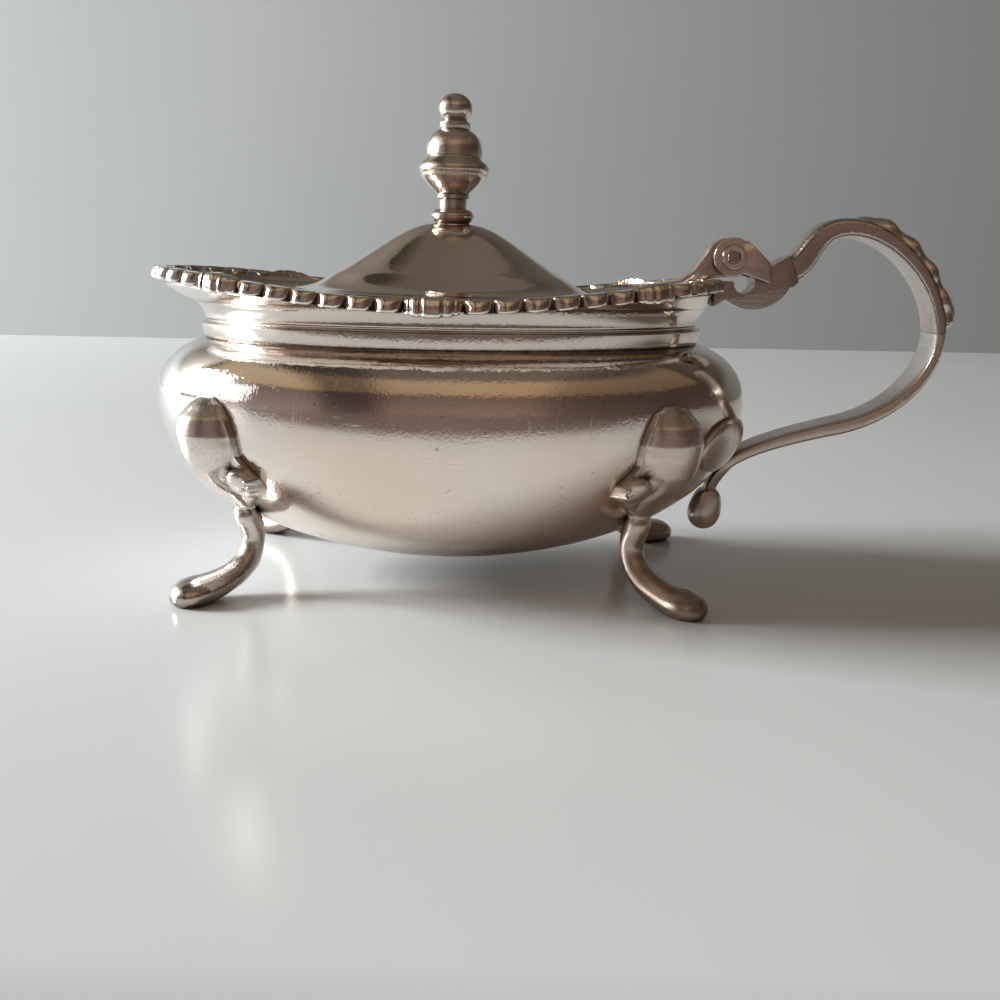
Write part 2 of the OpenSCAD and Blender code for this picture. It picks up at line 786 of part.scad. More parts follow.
module handle_lower() {
    thin = strap_thickness * strap_end;
    full = strap_thickness * strap_sag;
    seam_gap = 0.004;
    foot_share = 0.75;
    neck_share = 0.4;
    neck_thin = 0.9;
    tail_pull_in = 1.5;
    tail_pull_out = [0.3, 1.2];
    drop_lean = [0.1, 0.6, 1];
    drop_steps = 10;
    drop_half_width = 1.9;
    drop_half_depth = 2.1;
    drop_swell_at = 0.56;
    drop_tip = 0.1;
    tail = [heel, heel + along_bowl * tail_pull_in, drop_top + tail_pull_out, drop_top];
    hang = [
        drop_top,
        drop_top - [drop_lean[0], drop_length * 0.33],
        drop_top - [drop_lean[1], drop_length * 0.67],
        drop_top - [drop_lean[2], drop_length]
    ];
    drop_ring = function(t)
        let (
            off = t < drop_swell_at ? (drop_swell_at - t) / drop_swell_at : (t - drop_swell_at) / (1 - drop_swell_at),
            swell = sqrt(max(0, 1 - off * off)),
            neck = (1 - swell) * (1 - t)
        )
        strap_ring(
            hang, t,
            drop_tip + drop_half_width * swell + half_strap * neck_share * neck,
            drop_tip + drop_half_depth * swell + thin * neck_thin * neck,
            0.6 + 0.4 * min(1, 3 * t)
        );
    color(worn_silver)
        placed()
            skin(concat(
                [for (i = [0:strap_steps])
                    let (t = i / strap_steps)
                    strap_ring(lower_turn, seam_gap + (1 - seam_gap) * t, half_strap, thin + (full - thin) * t)],
                [for (i = [1:strap_steps])
                    let (t = i / strap_steps)
                    strap_ring(lower_run, t, half_strap * (1 + (foot_share - 1) * t), full + (thin - full) * t)],
                [for (i = [1:4])
                    let (t = i / 4)
                    strap_ring(tail, t, half_strap * (foot_share + (neck_share - foot_share) * t),
                        thin * (1 + (neck_thin - 1) * t))],
                [for (i = [1:drop_steps]) drop_ring(0.5 - 0.5 * cos(180 * i / drop_steps))]
            ));
}

// Lobes that spread from the strap's foot over the end of the bowl, one on each side
module handle_lobes() {
    lobe_rise = 0.2;
    lobe_tall = 6.8;
    lobe_gap = 1.2;
    lobe_spread = 10.4;
    lobe_height = 0.75;
    lobe_edge = 0.45;
    lobe_low = foot_z + lobe_rise;
    lobe_high = lobe_low + lobe_tall;
    lobe_in = half_strap + lobe_gap;
    lobe_out = lobe_in + lobe_spread;
    lobe_steps = 9;
    ring = function(u)
        let (
            z = lobe_low + (lobe_high - lobe_low) * (0.5 - 0.5 * cos(180 * u)),
            round = sqrt(max(0.03, 1 - pow(2 * (z - lobe_low) / (lobe_high - lobe_low) - 1, 2))),
            middle = lobe_in + (lobe_out - lobe_in) * (0.42 + 0.12 * u),
            half = (lobe_out - lobe_in) * 0.44 * round,
            a = bowl_at(z),
            place = function(y, h)
                let (t = asin(y / (a * oval)))
                [(a + h) * cos(t), (a * oval + h) * sin(t), z]
        )
        concat(
            [for (i = [8:-1:0])
                let (s = i / 4 - 1)
                place(middle + half * s, solder + lobe_edge + lobe_height * round * sqrt(max(0, 1 - s * s)))],
            [for (i = [4:-1:0])
                let (s = 1 - i / 2)
                place(middle + half * s, solder)]
        );
    color(worn_silver)
        placed()
            for (front = [0, 1])
                mirror([0, front, 0])
                    skin([for (i = [0:lobe_steps]) ring(i / lobe_steps)]);
}

// Glass liner that hangs by its rim on the ledge in the mouth

module glass_liner() {
    base_z = bowl_clearance + bowl_wall + glass_clearance;
    top_a = ledge_a - ledge_gap;
    outer = [[0, base_z], [top_a * 0.95, base_z], [top_a * 0.94, belly_z - 6], [top_a, neck_z + solder]];
    inner = [
        [0, base_z + glass_wall],
        [(top_a - glass_wall) * 0.94, base_z + glass_wall],
        [(top_a - glass_wall) * 0.95, belly_z - 5],
        [top_a - glass_wall, liner_z]
    ];
    color(cobalt, 0.75)
        placed()
            turned_oval(concat(
                bezier_points(outer, smooth_steps),
                [[liner_a, neck_z + solder], [liner_a, liner_z]],
                reversed(bezier_points(inner, smooth_steps))
            ), mouth_oval);
}

// Cover: an oval dome with a flat brim, a round seat for the finial and an arm to the hinge

dome_waist = [0.52, 0.48];
dome_foot_pull = [0.78, 0.01];
dome_lower_pull = [0.64, 0.28];
dome_upper_pull = [0.395, 0.69];
dome_top_pull = [0.25, 0.98];
dome_flat = 0.124;

// Outline of the dome from its foot to the axis, by shares of the foot's half length and of the height
function dome_curve(foot, low, high) =
    let (place = function(share) [foot * share[0], low + (high - low) * share[1]])
    concat(
        bezier_points([
            [foot, low], place(dome_foot_pull), place(dome_lower_pull), place(dome_waist)
        ], 8),
        bezier_points([
            place(dome_waist), place(dome_upper_pull), place(dome_top_pull), place([dome_flat, 1])
        ], 8, 1),
        [[0, high]]
    );

module cover() {
    outside = dome_curve(dome_foot, brim_top, dome_z);
    inside = dome_curve(dome_foot - cover_thickness * 0.5, brim_z, dome_z - cover_thickness);
    brim_round = 0.2;
    color(silver)
        on_cover()
            difference() {
                union() {
                    turned_oval(concat(
                        [[cover_a - brim_round, brim_z], [cover_a, brim_z + brim_round],
                            [cover_a, brim_top - brim_round], [cover_a - brim_round, brim_top]],
                        outside,
                        reversed(inside)
                    ), mouth_oval);
                    translate([0, 0, boss_z]) cylinder(r = seat_radius, h = seat_z - boss_z);
                }
                translate([0, 0, brim_z]) cylinder(r = stud_radius + solder, h = seat_z);
            }
}

module cover_arm() {
    arm_top = brim_top + solder;
    arm_tip = cover_a - 5.4;
    arm_heel = cover_a - 0.5;
    arm_edge = 0.6;
    knuckle_lean = [-0.9, -0.15];
    arm_low = [-0.9, -2.45];
    arm_over_flange = -2.65;
    arm_over_mouth = [-0.1, -3.2];
    arm_top_out = [-2.5, 1.5];
    arm_back = [-4.6, -1.8];
    arm_slope = [-6.3, -3.1];
    pin = [pin_x, pin_z];
    color(worn_silver)
        on_cover()
            across(-knuckle_half, knuckle_half)
                difference() {
                    union() {
                        translate(pin) circle(knuckle_radius);
                        translate(pin + knuckle_lean) circle(knuckle_radius);
                        polygon([
                            [arm_tip, arm_top],
                            [arm_heel, arm_top],
                            [mouth_a, pin_z] + arm_over_mouth,
                            [flange_end_x, pin_z + arm_over_flange],
                            pin + arm_low,
                            pin + knuckle_lean,
                            pin + arm_top_out,
                            pin + arm_back,
                            pin + arm_slope,
                            [arm_tip, arm_top + arm_edge]
                        ]);
                    }
                    translate(pin) circle(pin_radius + running_gap);
                }
}

module finial() {
    r = finial_radius;
    h = finial_height;
    base = seat_z + solder;
    stud_length = base - boss_z + solder + nut_height + stud_tip;
    ball = 2.15;
    outline = concat(
        [[0, -stud_length], [stud_radius, -stud_length], [stud_radius, 0], [2.3, 0]],
        [for (i = [0:6]) [2.2 + 0.6 * sin(30 * i), 0.1 + 1.6 * i / 6]],
        [[1.75, 1.75], [1.75, 2.9], [2.1, 3.1], [2.1, 3.5]],
        bezier_points([[2.0, 3.6], [2.9, 4.3], [r * 0.95, 5.4], [r * 0.95, 6.1]], 6),
        [for (i = [1:4]) [r * (0.95 + 0.05 * sin(45 * i)), 6.1 + 0.3 * i]],
        [[r * 0.78, 7.9], [r * 0.76, 8.2]],
        bezier_points([[r * 0.79, 8.3], [r * 0.82, 10.1], [r * 0.64, 11.1], [r * 0.4, 11.5]], 6),
        [[1.95, 11.7], [1.95, 12.3], [1.6, 12.5], [1.5, 12.7]],
        [for (i = [2:9]) let (t = 20 * i) [ball * sin(t), h - ball * 0.86 - ball * 0.86 * cos(t)]]
    );
    color(worn_silver)
        on_cover()
            translate([0, 0, base]) rotate_extrude() polygon(outline);
}

module finial_nut() {
    through = 1;
    color(dark_silver)
        on_cover()
            translate([0, 0, boss_z - solder - nut_height])
                difference() {
                    cylinder(r = nut_radius, h = nut_height, $fn = 6);
                    translate([0, 0, -through])
                        cylinder(r = stud_radius + solder, h = nut_height + 2 * through, $fn = 48);
                }
}

bowl();
rim_mount();
gadroon_border();
leaf_front();
leaf_back();
leaf_front_left();
leaf_back_left();
leaf_front_right();
leaf_back_right();
leg_front_left();
leg_front_right();
leg_back_left();
leg_back_right();
hinge_block();
cheek_front();
cheek_back();
hinge_pin();
hinge_washers();
handle_upper();
handle_leaf();
handle_lower();
handle_lobes();
glass_liner();
cover();
cover_arm();
finial();
finial_nut();
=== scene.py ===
import json
import math

import bmesh
import bpy
import numpy as np
from mathutils import Matrix, Vector

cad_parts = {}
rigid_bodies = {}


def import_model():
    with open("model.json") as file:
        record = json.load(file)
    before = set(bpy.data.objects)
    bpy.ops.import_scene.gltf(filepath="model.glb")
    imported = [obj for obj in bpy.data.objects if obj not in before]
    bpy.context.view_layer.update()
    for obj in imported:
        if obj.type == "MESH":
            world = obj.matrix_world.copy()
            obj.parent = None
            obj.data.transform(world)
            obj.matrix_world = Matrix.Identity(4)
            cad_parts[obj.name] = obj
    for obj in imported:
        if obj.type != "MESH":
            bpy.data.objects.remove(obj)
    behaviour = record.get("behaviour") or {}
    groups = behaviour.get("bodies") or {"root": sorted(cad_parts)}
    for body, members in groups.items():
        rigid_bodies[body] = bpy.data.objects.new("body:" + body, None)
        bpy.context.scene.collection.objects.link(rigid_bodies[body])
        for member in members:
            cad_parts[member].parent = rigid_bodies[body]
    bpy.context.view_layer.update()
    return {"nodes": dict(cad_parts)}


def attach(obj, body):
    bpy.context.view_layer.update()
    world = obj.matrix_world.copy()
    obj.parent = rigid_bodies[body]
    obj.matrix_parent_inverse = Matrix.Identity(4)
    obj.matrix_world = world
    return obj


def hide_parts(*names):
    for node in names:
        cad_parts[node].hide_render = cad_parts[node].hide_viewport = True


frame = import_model()

# Sizes of the pot in millimetres, about the axis of the bowl

MM = 0.001
BOWL_LENGTH, BOWL_WIDTH = 76.6, 51.6
OVAL = BOWL_WIDTH / BOWL_LENGTH
BELLY_A, BELLY_Z, BELLY_RISE = BOWL_LENGTH / 2, 23.8, 21.2
GROOVE_Z, REED_HEIGHT = 31.2, 2.0
REED_Z, COVE_Z, BAND_FLARE = 33.2, 33.8, 1.1
NECK_A, NECK_Z = 31.9, 35.8
SIDE_POWER, BOTTOM_POWER, SHOULDER_FALL = 2.2, 1.85, 0.066
BOWL_UNDERSIDE, BOWL_WALL, LEDGE_A, LEDGE_THICKNESS = 2.6, 1.0, 29.3, 0.9
COLLAR_WALL, RIM_THICKNESS = 1.2, 0.9
MOUTH_A = NECK_A - COLLAR_WALL
MOUTH_OVAL = (NECK_A * OVAL - COLLAR_WALL) / MOUTH_A
SIDE_OVERHANG, FRONT_OVERHANG, HINGE_OVERHANG = 4.7, 6.5, 3.3
EDGE_HEIGHT, FRONT_RISE, HINGE_RISE, RISE_POWER = 0.45, 3.1, 2.5, 3.2
ROOT_LIFT, UNDER_DROP, COLLAR_FILLET = 0.06, 0.32, 0.3
BORDER_WIDTH, BORDER_HEIGHT, BORDER_LEAN = 1.6, 1.55, 0.12
LOBE_PEAK, LOBE_FALL, LOBE_BACK, LOBE_LEAN, LOBE_OVERLAP = 0.1, 0.72, 0.3, 0.03, 1.06
# Section of the strip behind the lobes, in shares of the border's width and height
BORDER_STRIP = [
    (0.0, -0.5), (0.4, -0.52), (0.66, -0.5), (0.74, -0.45), (0.7, -0.4),
    (0.34, -0.36), (0.3, 0.3), (0.2, 0.44), (0.0, 0.46),
]
SIDE_LOBES, FRONT_LOBES, HINGE_LOBES = 6, 11, 4
SIDE_LEAF_HALF, CORNER_LEAF_HALF, CORNER_LEAF_PLACE = 6.4, 5.2, 40.5
HINGE_END_PLACE, LEAF_GAP = 9.0, 0.15
SOLDER = 0.04
PIN_X, PIN_Z = 35.7, 42.2
COVER_TILT = math.radians(1.2)
GLASS_RIM, GLASS_WALL, LINER_CLEAR = 0.65, 1.6, 3
LINER_PLAY, LEDGE_PLAY, COVER_PLAY, COVER_GAP = 0.4, 0.6, 0.6, 0.35
LINER_Z = NECK_Z + SOLDER + GLASS_RIM
LINER_A, COVER_A = MOUTH_A - LINER_PLAY, MOUTH_A - COVER_PLAY
COVER_THICKNESS, BRIM_EDGE, BRIM_SAG = 0.85, 0.35, 0.9
BRIM_BLEND, HINGE_LIFT, FRONT_LIFT = 1.6, 0.7, 0.45
ARM_BED_LENGTH, ARM_BED_HALF, BED_SLOPE = 7.5, 5.0, 2
BRIM_Z = LINER_Z + COVER_GAP
BRIM_TOP = BRIM_Z + COVER_THICKNESS
DOME_FOOT, DOME_RISE = 21.0, 7.4
DOME_Z = BRIM_TOP + DOME_RISE
SEAT_RADIUS, SEAT_CORNER, SEAT_RISE, BOSS_DEPTH = 2.5, 0.12, 0.05, 0.7
SEAT_Z = DOME_Z + SEAT_RISE
BOSS_Z = DOME_Z - COVER_THICKNESS - BOSS_DEPTH
STUD_RADIUS, STUD_END, NUT_HEIGHT = 0.9, 0.7, 1.1
FINIAL_RADIUS, FINIAL_HEIGHT, BALL_RADIUS, BALL_PRESS = 4.5, 15.9, 2.15, 0.86

# From the axis of the bowl to the middle of the shared frame
MIDDLE_X = 13.025


def bezier(points, t):
    a, b, c, d = (np.asarray(p, float) for p in points)
    t = np.asarray(t, float)[..., None]
    return (1 - t) ** 3 * a + 3 * (1 - t) ** 2 * t * b + 3 * (1 - t) * t * t * c + t**3 * d


def unit(v):
    return v / np.linalg.norm(v, axis=-1, keepdims=True)


def smooth_through(rings, count):
    """Rings in between the given ones, on a smooth curve through each point."""
    rings = np.asarray(rings, float)
    step = np.linalg.norm(np.diff(rings.mean(1), axis=0), axis=1) + 1e-6
    knot = np.concatenate([[0], np.cumsum(step)])
    slope = np.zeros_like(rings)
    before, after = step[:-1, None, None], step[1:, None, None]
    back = (rings[1:-1] - rings[:-2]) / before
    ahead = (rings[2:] - rings[1:-1]) / after
    slope[1:-1] = (back * after + ahead * before) / (before + after)
    slope[0] = (rings[1] - rings[0]) / step[0]
    slope[-1] = (rings[-1] - rings[-2]) / step[-1]
    at = np.linspace(0, knot[-1], count)
    i = np.clip(np.searchsorted(knot, at, side="right") - 1, 0, len(step) - 1)
    h = step[i][:, None, None]
    t = ((at - knot[i]) / step[i])[:, None, None]
    return (
        (2 * t**3 - 3 * t**2 + 1) * rings[i]
        + (t**3 - 2 * t**2 + t) * h * slope[i]
        + (3 * t**2 - 2 * t**3) * rings[i + 1]
        + (t**3 - t**2) * h * slope[i + 1]
    )


# Making pieces


def add_object(name, data):
    obj = bpy.data.objects.new(name, data)
    bpy.context.scene.collection.objects.link(obj)
    return obj


def make_plain(obj):
    """Leaves the object with the plain mesh that its modifiers make."""
    made = bpy.data.meshes.new_from_object(obj.evaluated_get(bpy.context.evaluated_depsgraph_get()))
    obj.modifiers.clear()
    obj.data = made


def finish_piece(obj, body, material, nodes, sharp):
    """Closes the seams, turns the faces outwards, smooths the shading and fixes the piece to its body."""
    mesh = obj.data
    work = bmesh.new()
    work.from_mesh(mesh)
    bmesh.ops.remove_doubles(work, verts=work.verts, dist=2e-6)
    bmesh.ops.dissolve_degenerate(work, edges=work.edges, dist=1e-7)
    bmesh.ops.recalc_face_normals(work, faces=work.faces)
    work.to_mesh(mesh)
    work.free()
    mesh.shade_smooth()
    mesh.set_sharp_from_angle(angle=math.radians(sharp))
    mesh.materials.clear()
    mesh.materials.append(material)
    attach(obj, body)
    if nodes:
        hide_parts(*nodes)


def mesh_object(name, points, faces):
    mesh = bpy.data.meshes.new(name)
    mesh.from_pydata((np.asarray(points) * MM).tolist(), [], faces)
    mesh.update()
    return add_object(name, mesh)


def placed(points):
    """From the bowl's axis to the shared frame."""
    moved = np.array(points, float)
    moved[..., 0] -= MIDDLE_X
    return moved


def on_cover(points):
    """The cover's pieces turn about the hinge pin to the angle at which the closed cover stands."""
    moved = np.array(points, float)
    x, z = moved[..., 0] - PIN_X, moved[..., 2] - PIN_Z
    moved[..., 0] = PIN_X + x * math.cos(COVER_TILT) + z * math.sin(COVER_TILT)
    moved[..., 2] = PIN_Z - x * math.sin(COVER_TILT) + z * math.cos(COVER_TILT)
    return placed(moved)


def smooth(value):
    value = np.clip(value, 0, 1)
    return value * value * (3 - 2 * value)


def on_lid(points):
    """The dome leans with the cover.

    Its brim sags into the mouth between the ends, and rises to bed the arm.
    """
    points = np.asarray(points, float)
    x, y = points[..., 0], np.abs(points[..., 1])
    sag = BRIM_SAG - np.where(x > 0, HINGE_LIFT, FRONT_LIFT) * (x / COVER_A) ** 2
    bed = smooth((x - COVER_A + ARM_BED_LENGTH) / BED_SLOPE) * smooth((ARM_BED_HALF - y) / BED_SLOPE)
    drop = sag * (1 - bed) - (COVER_THICKNESS - BRIM_EDGE) * bed
    moved = on_cover(points)
    moved[..., 2] -= drop * (1 - smooth((points[..., 2] - BRIM_Z - BRIM_EDGE) / BRIM_BLEND))
    return moved


def skin(rings, loop=False):
    """Points and faces over closed rings with equal numbers of points, with the ends closed."""
    rings = np.asarray(rings, float)
    m, n, _ = rings.shape
    points = rings.reshape(-1, 3)
    i = np.arange(m if loop else m - 1)[:, None]
    j = np.arange(n)[None, :]
    a, b = i * n + j, i * n + (j + 1) % n
    c, d = ((i + 1) % m) * n + (j + 1) % n, ((i + 1) % m) * n + j
    faces = np.stack([a, b, c, d], -1).reshape(-1, 4).tolist()
    if not loop:
        points = np.concatenate([points, [rings[0].mean(0)], [rings[-1].mean(0)]])
        k = np.arange(n)
        last = (m - 1) * n
        faces += np.stack([np.full(n, m * n), (k + 1) % n, k], -1).tolist()
        faces += np.stack([np.full(n, m * n + 1), last + k, last + (k + 1) % n], -1).tolist()
    return points, faces


def turned(profile, press=OVAL, around=256):
    """Turns a closed profile of radius and height round the axis, pressed to an oval."""
    r, z = np.asarray(profile, float).T
    turns = np.linspace(0, 2 * math.pi, around, endpoint=False)
    rings = [np.stack([r * math.cos(t), r * press * math.sin(t), z], -1) for t in turns]
    return skin(rings, loop=True)


def piece(name, made, place, body, material, nodes, sharp):
    points, faces = made
    finish_piece(mesh_object(name, place(points), faces), body, material, nodes, sharp)


def softened(name, node, body, material, width):
    """A copy of a solid with its edges rounded."""
    mesh = frame["nodes"][node].data.copy()
    mesh.name = name
    work = bmesh.new()
    work.from_mesh(mesh)
    bmesh.ops.remove_doubles(work, verts=work.verts, dist=1e-6)
    flat = [e for e in work.edges if e.is_manifold and e.calc_face_angle(1) < math.radians(0.5)]
    bmesh.ops.dissolve_edges(work, edges=flat, use_verts=True)
    work.to_mesh(mesh)
    work.free()
    obj = add_object(name, mesh)
    bevel = obj.modifiers.new("edges", "BEVEL")
    bevel.width = width * MM
    bevel.segments = 3
    bevel.limit_method = "ANGLE"
    bevel.angle_limit = math.radians(35)
    bevel.use_clamp_overlap = True
    make_plain(obj)
    finish_piece(obj, body, material, [node], 30)


# Finishes

# Painted light on the left end fades in between these two places.
PAINTED_LIGHT_END, PAINTED_LIGHT_FADE = -46 * MM, -28 * MM
LOWER_MASK_TOP, LOWER_MASK_FULL = 27 * MM, 19 * MM
LOW_DARK_TOP, LOW_DARK_FULL = 9 * MM, 3 * MM
# Reaches of the painted shade in hollows and in corners; the second colour below is the hollows' painted
# shade with tarnish.
HOLLOW_SHADE_REACH, CORNER_SHADE_REACH = 7.0 * MM, 1.3 * MM
LOW_DARK_TONE, HOLLOW_SHADE_AND_TARNISH = (0.26, 0.19, 0.16, 1), (0.36, 0.275, 0.22, 1)
SCRATCHES = (
    ((0.3, 0.2, 0.5), (2600, 50, 2600)),
    ((1.2, 0.5, 2.1), (45, 2400, 2400)),
    ((0.7, 1.9, 0.9), (2200, 2200, 60)),
)


def feed(tree, socket, value):
    """Links a socket to the one that feeds it, or sets its value."""
    if isinstance(value, bpy.types.NodeSocket):
        tree.links.new(value, socket)
    else:
        socket.default_value = value


class Nodes:
    """A material's nodes, made one line each."""

    def __init__(self, name):
        self.material = bpy.data.materials.new(name)
        self.material.use_nodes = True
        self.tree = self.material.node_tree
        self.tree.nodes.clear()
        self.out = self.tree.nodes.new("ShaderNodeOutputMaterial")

    def add(self, kind, settings=None, **inputs):
        node = self.tree.nodes.new("ShaderNode" + kind)
        for key, value in (settings or {}).items():
            setattr(node, key, value)
        for key, value in inputs.items():
            feed(self.tree, node.inputs[key.replace("_", " ")], value)
        return node

    def ramp(self, factor, low, high, start=0.0, end=1.0):
        node = self.add("MapRange", {"clamp": True}, Value=factor, From_Min=low, From_Max=high)
        node.inputs["To Min"].default_value = start
        node.inputs["To Max"].default_value = end
        return node.outputs["Result"]

    def maths(self, operation, a, b):
        node = self.add("Math", {"operation": operation})
        for index, value in enumerate((a, b)):
            feed(self.tree, node.inputs[index], value)
        return node.outputs[0]

    def mix(self, factor, a, b):
        node = self.add("Mix", {"data_type": "RGBA"})
        for index, value in ((0, factor), (6, a), (7, b)):
            feed(self.tree, node.inputs[index], value)
        return node.outputs[2]

    def finish(self, shader):
        self.tree.links.new(shader.outputs[0], self.out.inputs["Surface"])
        return self.material


def silver(name, bright, warm, shade_and_pit_colour, gloss, wear, grain, corner_shade_and_grime):
    """Old silver: warm tarnish in patches, painted shade with grime in the corners and with tarnish in the
    hollows, painted light on the left end, fine scratches, pits and a worn grain.
    """
    n = Nodes(name)
    place = n.add("TexCoord").outputs["Object"]
    clouds = n.add("TexNoise", Vector=place, Scale=34.0, Detail=4.0, Roughness=0.6).outputs[0]
    patches = n.add("TexNoise", Vector=place, Scale=110.0, Detail=5.0, Roughness=0.65).outputs[0]
    fine = n.add("TexNoise", Vector=place, Scale=900.0, Detail=4.0, Roughness=0.65).outputs[0]
    sparkle = n.add("TexNoise", Vector=place, Scale=2600.0, Detail=1.5, Roughness=0.6).outputs[0]
    part = n.add("SeparateXYZ", Vector=place)
    # Painted light: towards the left end the tarnish tint fades out, so that side stays bright and neutral as
    # if lit by the window.
    across = n.ramp(part.outputs[0], PAINTED_LIGHT_END, PAINTED_LIGHT_FADE)
    # Warmer and rougher towards the bottom, away from the left end.
    lower_mask = n.maths("MULTIPLY", n.ramp(part.outputs[2], LOWER_MASK_TOP, LOWER_MASK_FULL), across)
    tarnish_and_painted_light = n.maths("ADD", n.maths("MULTIPLY", n.ramp(clouds, 0.30, 0.62), 0.55), 0.15)
    tarnish_and_painted_light = n.maths("ADD", n.maths("MULTIPLY", across, tarnish_and_painted_light), n.maths("MULTIPLY", lower_mask, 0.35))
    colour = n.mix(tarnish_and_painted_light, bright, warm)
    colour = n.mix(n.maths("MULTIPLY", n.ramp(patches, 0.52, 0.74), 0.35), colour, warm)
    # Darker brown in patches towards the bottom, on the feet.
    low = n.ramp(part.outputs[2], LOW_DARK_TOP, LOW_DARK_FULL)
    darker_low = n.maths("MULTIPLY", low, n.ramp(patches, 0.30, 0.55))
    colour = n.mix(n.maths("MULTIPLY", darker_low, 0.6), colour, LOW_DARK_TONE)
    # Painted shade with some tarnish: hollows within about 7 mm are tinted darker brown.
    hollow = n.add("AmbientOcclusion", {"samples": 5}, Distance=HOLLOW_SHADE_REACH).outputs["AO"]
    colour = n.mix(n.maths("MULTIPLY", n.ramp(hollow, 0.88, 0.42), 0.8), colour, HOLLOW_SHADE_AND_TARNISH)
    # Painted shade with grime: tight corners within about 1.3 mm darken towards the third colour, broken up
    # by fine noise.
    corner = n.add("AmbientOcclusion", {"samples": 6}, Distance=CORNER_SHADE_REACH).outputs["AO"]
    broken = n.maths("MULTIPLY", n.ramp(fine, 0.15, 0.75), corner_shade_and_grime)
    shade = n.maths("MULTIPLY", n.ramp(corner, 0.84, 0.22), broken)
    colour = n.mix(shade, colour, shade_and_pit_colour)
    specks = n.add("TexVoronoi", {"feature": "F1"}, Vector=place, Scale=700.0, Randomness=1.0)
    deep = n.ramp(specks.outputs["Distance"], 0.16, 0.05)
    pits = n.maths("MULTIPLY", deep, n.ramp(patches, 0.50, 0.62))
    colour = n.mix(n.maths("MULTIPLY", pits, 0.7), colour, shade_and_pit_colour)
    lines = None
    for turn, stretch in SCRATCHES:
        run = n.add("Mapping", Vector=place, Rotation=turn, Scale=stretch)
        streak = n.add("TexNoise", Vector=run.outputs[0], Scale=1.0, Detail=1.0, Roughness=0.5).outputs[0]
        thin = n.ramp(streak, 0.68, 0.76)
        lines = thin if lines is None else n.maths("MAXIMUM", lines, thin)
    rough = n.ramp(patches, 0.35, 0.7, *gloss)
    dull = n.maths("ADD", rough, n.maths("MULTIPLY", lines, wear))
    dull = n.maths("ADD", dull, n.maths("MULTIPLY", shade, 0.35))
    dull = n.maths("ADD", dull, n.maths("MULTIPLY", lower_mask, 0.14))
    swell = n.add("TexNoise", Vector=place, Scale=150.0, Detail=1.5).outputs[0]
    waves = n.add("Bump", Strength=0.3, Distance=0.12 * MM, Height=swell).outputs[0]
    worn = n.maths("MULTIPLY", sparkle, n.ramp(clouds, 0.62, 0.40))
    tooth = n.add("Bump", Strength=grain, Distance=0.05 * MM, Height=worn, Normal=waves).outputs[0]
    cut = n.maths("ADD", n.maths("MULTIPLY", lines, -0.5), n.maths("MULTIPLY", fine, 0.25))
    cut = n.maths("SUBTRACT", cut, pits)
    marks = n.add("Bump", Strength=0.16, Distance=0.05 * MM, Height=cut, Normal=tooth).outputs[0]
    shader = n.add("BsdfPrincipled", Base_Color=colour, Roughness=dull, Normal=marks)
    shader.inputs["Metallic"].default_value = 1.0
    return n.finish(shader)


# Each silver's third colour is its painted shade in the corners; the pits take it too.
polished_silver = silver(
    "polished_silver", (0.93, 0.905, 0.87, 1), (0.89, 0.76, 0.645, 1), (0.06, 0.04, 0.03, 1),
    gloss=(0.035, 0.11), wear=0.10, grain=0.5, corner_shade_and_grime=0.95,
)
cast_silver = silver(
    "cast_silver", (0.86, 0.82, 0.78, 1), (0.74, 0.63, 0.54, 1), (0.05, 0.035, 0.03, 1),
    gloss=(0.13, 0.27), wear=0.12, grain=0.6, corner_shade_and_grime=1.0,
)
worn_silver = silver(
    "worn_silver", (0.66, 0.60, 0.55, 1), (0.42, 0.345, 0.30, 1), (0.04, 0.03, 0.025, 1),
    gloss=(0.18, 0.32), wear=0.2, grain=1.0, corner_shade_and_grime=1.0,
)
dark_silver = silver(
    "dark_silver", (0.55, 0.46, 0.40, 1), (0.40, 0.32, 0.27, 1), (0.04, 0.03, 0.025, 1),
    gloss=(0.20, 0.38), wear=0.1, grain=0.6, corner_shade_and_grime=1.0,
)


def cobalt():
    n = Nodes("cobalt_glass")
    place = n.add("TexCoord").outputs["Object"]
    seeds = n.add("TexNoise", Vector=place, Scale=160.0, Detail=2.0).outputs[0]
    flow = n.add("Bump", Strength=0.12, Distance=0.2 * MM, Height=seeds).outputs[0]
    tone = n.mix(n.ramp(seeds, 0.3, 0.7), (0.010, 0.030, 0.34, 1), (0.016, 0.050, 0.46, 1))
    shader = n.add("BsdfPrincipled", Base_Color=tone, Normal=flow)
    shader.inputs["Roughness"].default_value = 0.04
    shader.inputs["IOR"].default_value = 1.5
    shader.inputs["Transmission Weight"].default_value = 1.0
    return n.finish(shader)


cobalt_glass = cobalt()

# Bowl


def belly_curve(a, h, t):
    return np.stack([a * np.sin(t) ** (2 / BOTTOM_POWER), BELLY_Z - h * np.cos(t) ** (2 / SIDE_POWER)], -1)


def bowl_at(z):
    z = np.asarray(z, float)
    low = np.clip((BELLY_Z - z) / BELLY_RISE, 0, 1)
    under = BELLY_A * (1 - low**SIDE_POWER) ** (1 / BOTTOM_POWER)
    return np.where(z > BELLY_Z, BELLY_A - SHOULDER_FALL * (z - BELLY_Z) ** 2, under)


def bowl_normal(z):
    slope = (bowl_at(z - 0.1) - bowl_at(z + 0.1)) / 0.2
    return unit(np.stack([np.ones_like(slope), slope], -1))


def shoulder(a, neck, top, t):
    rise = top - BELLY_Z
    low, high = [a, BELLY_Z + rise * 0.52], [neck + (a - neck) * 0.6, top - rise * 0.14]
    return bezier([[a, BELLY_Z], low, high, [neck, top]], t)


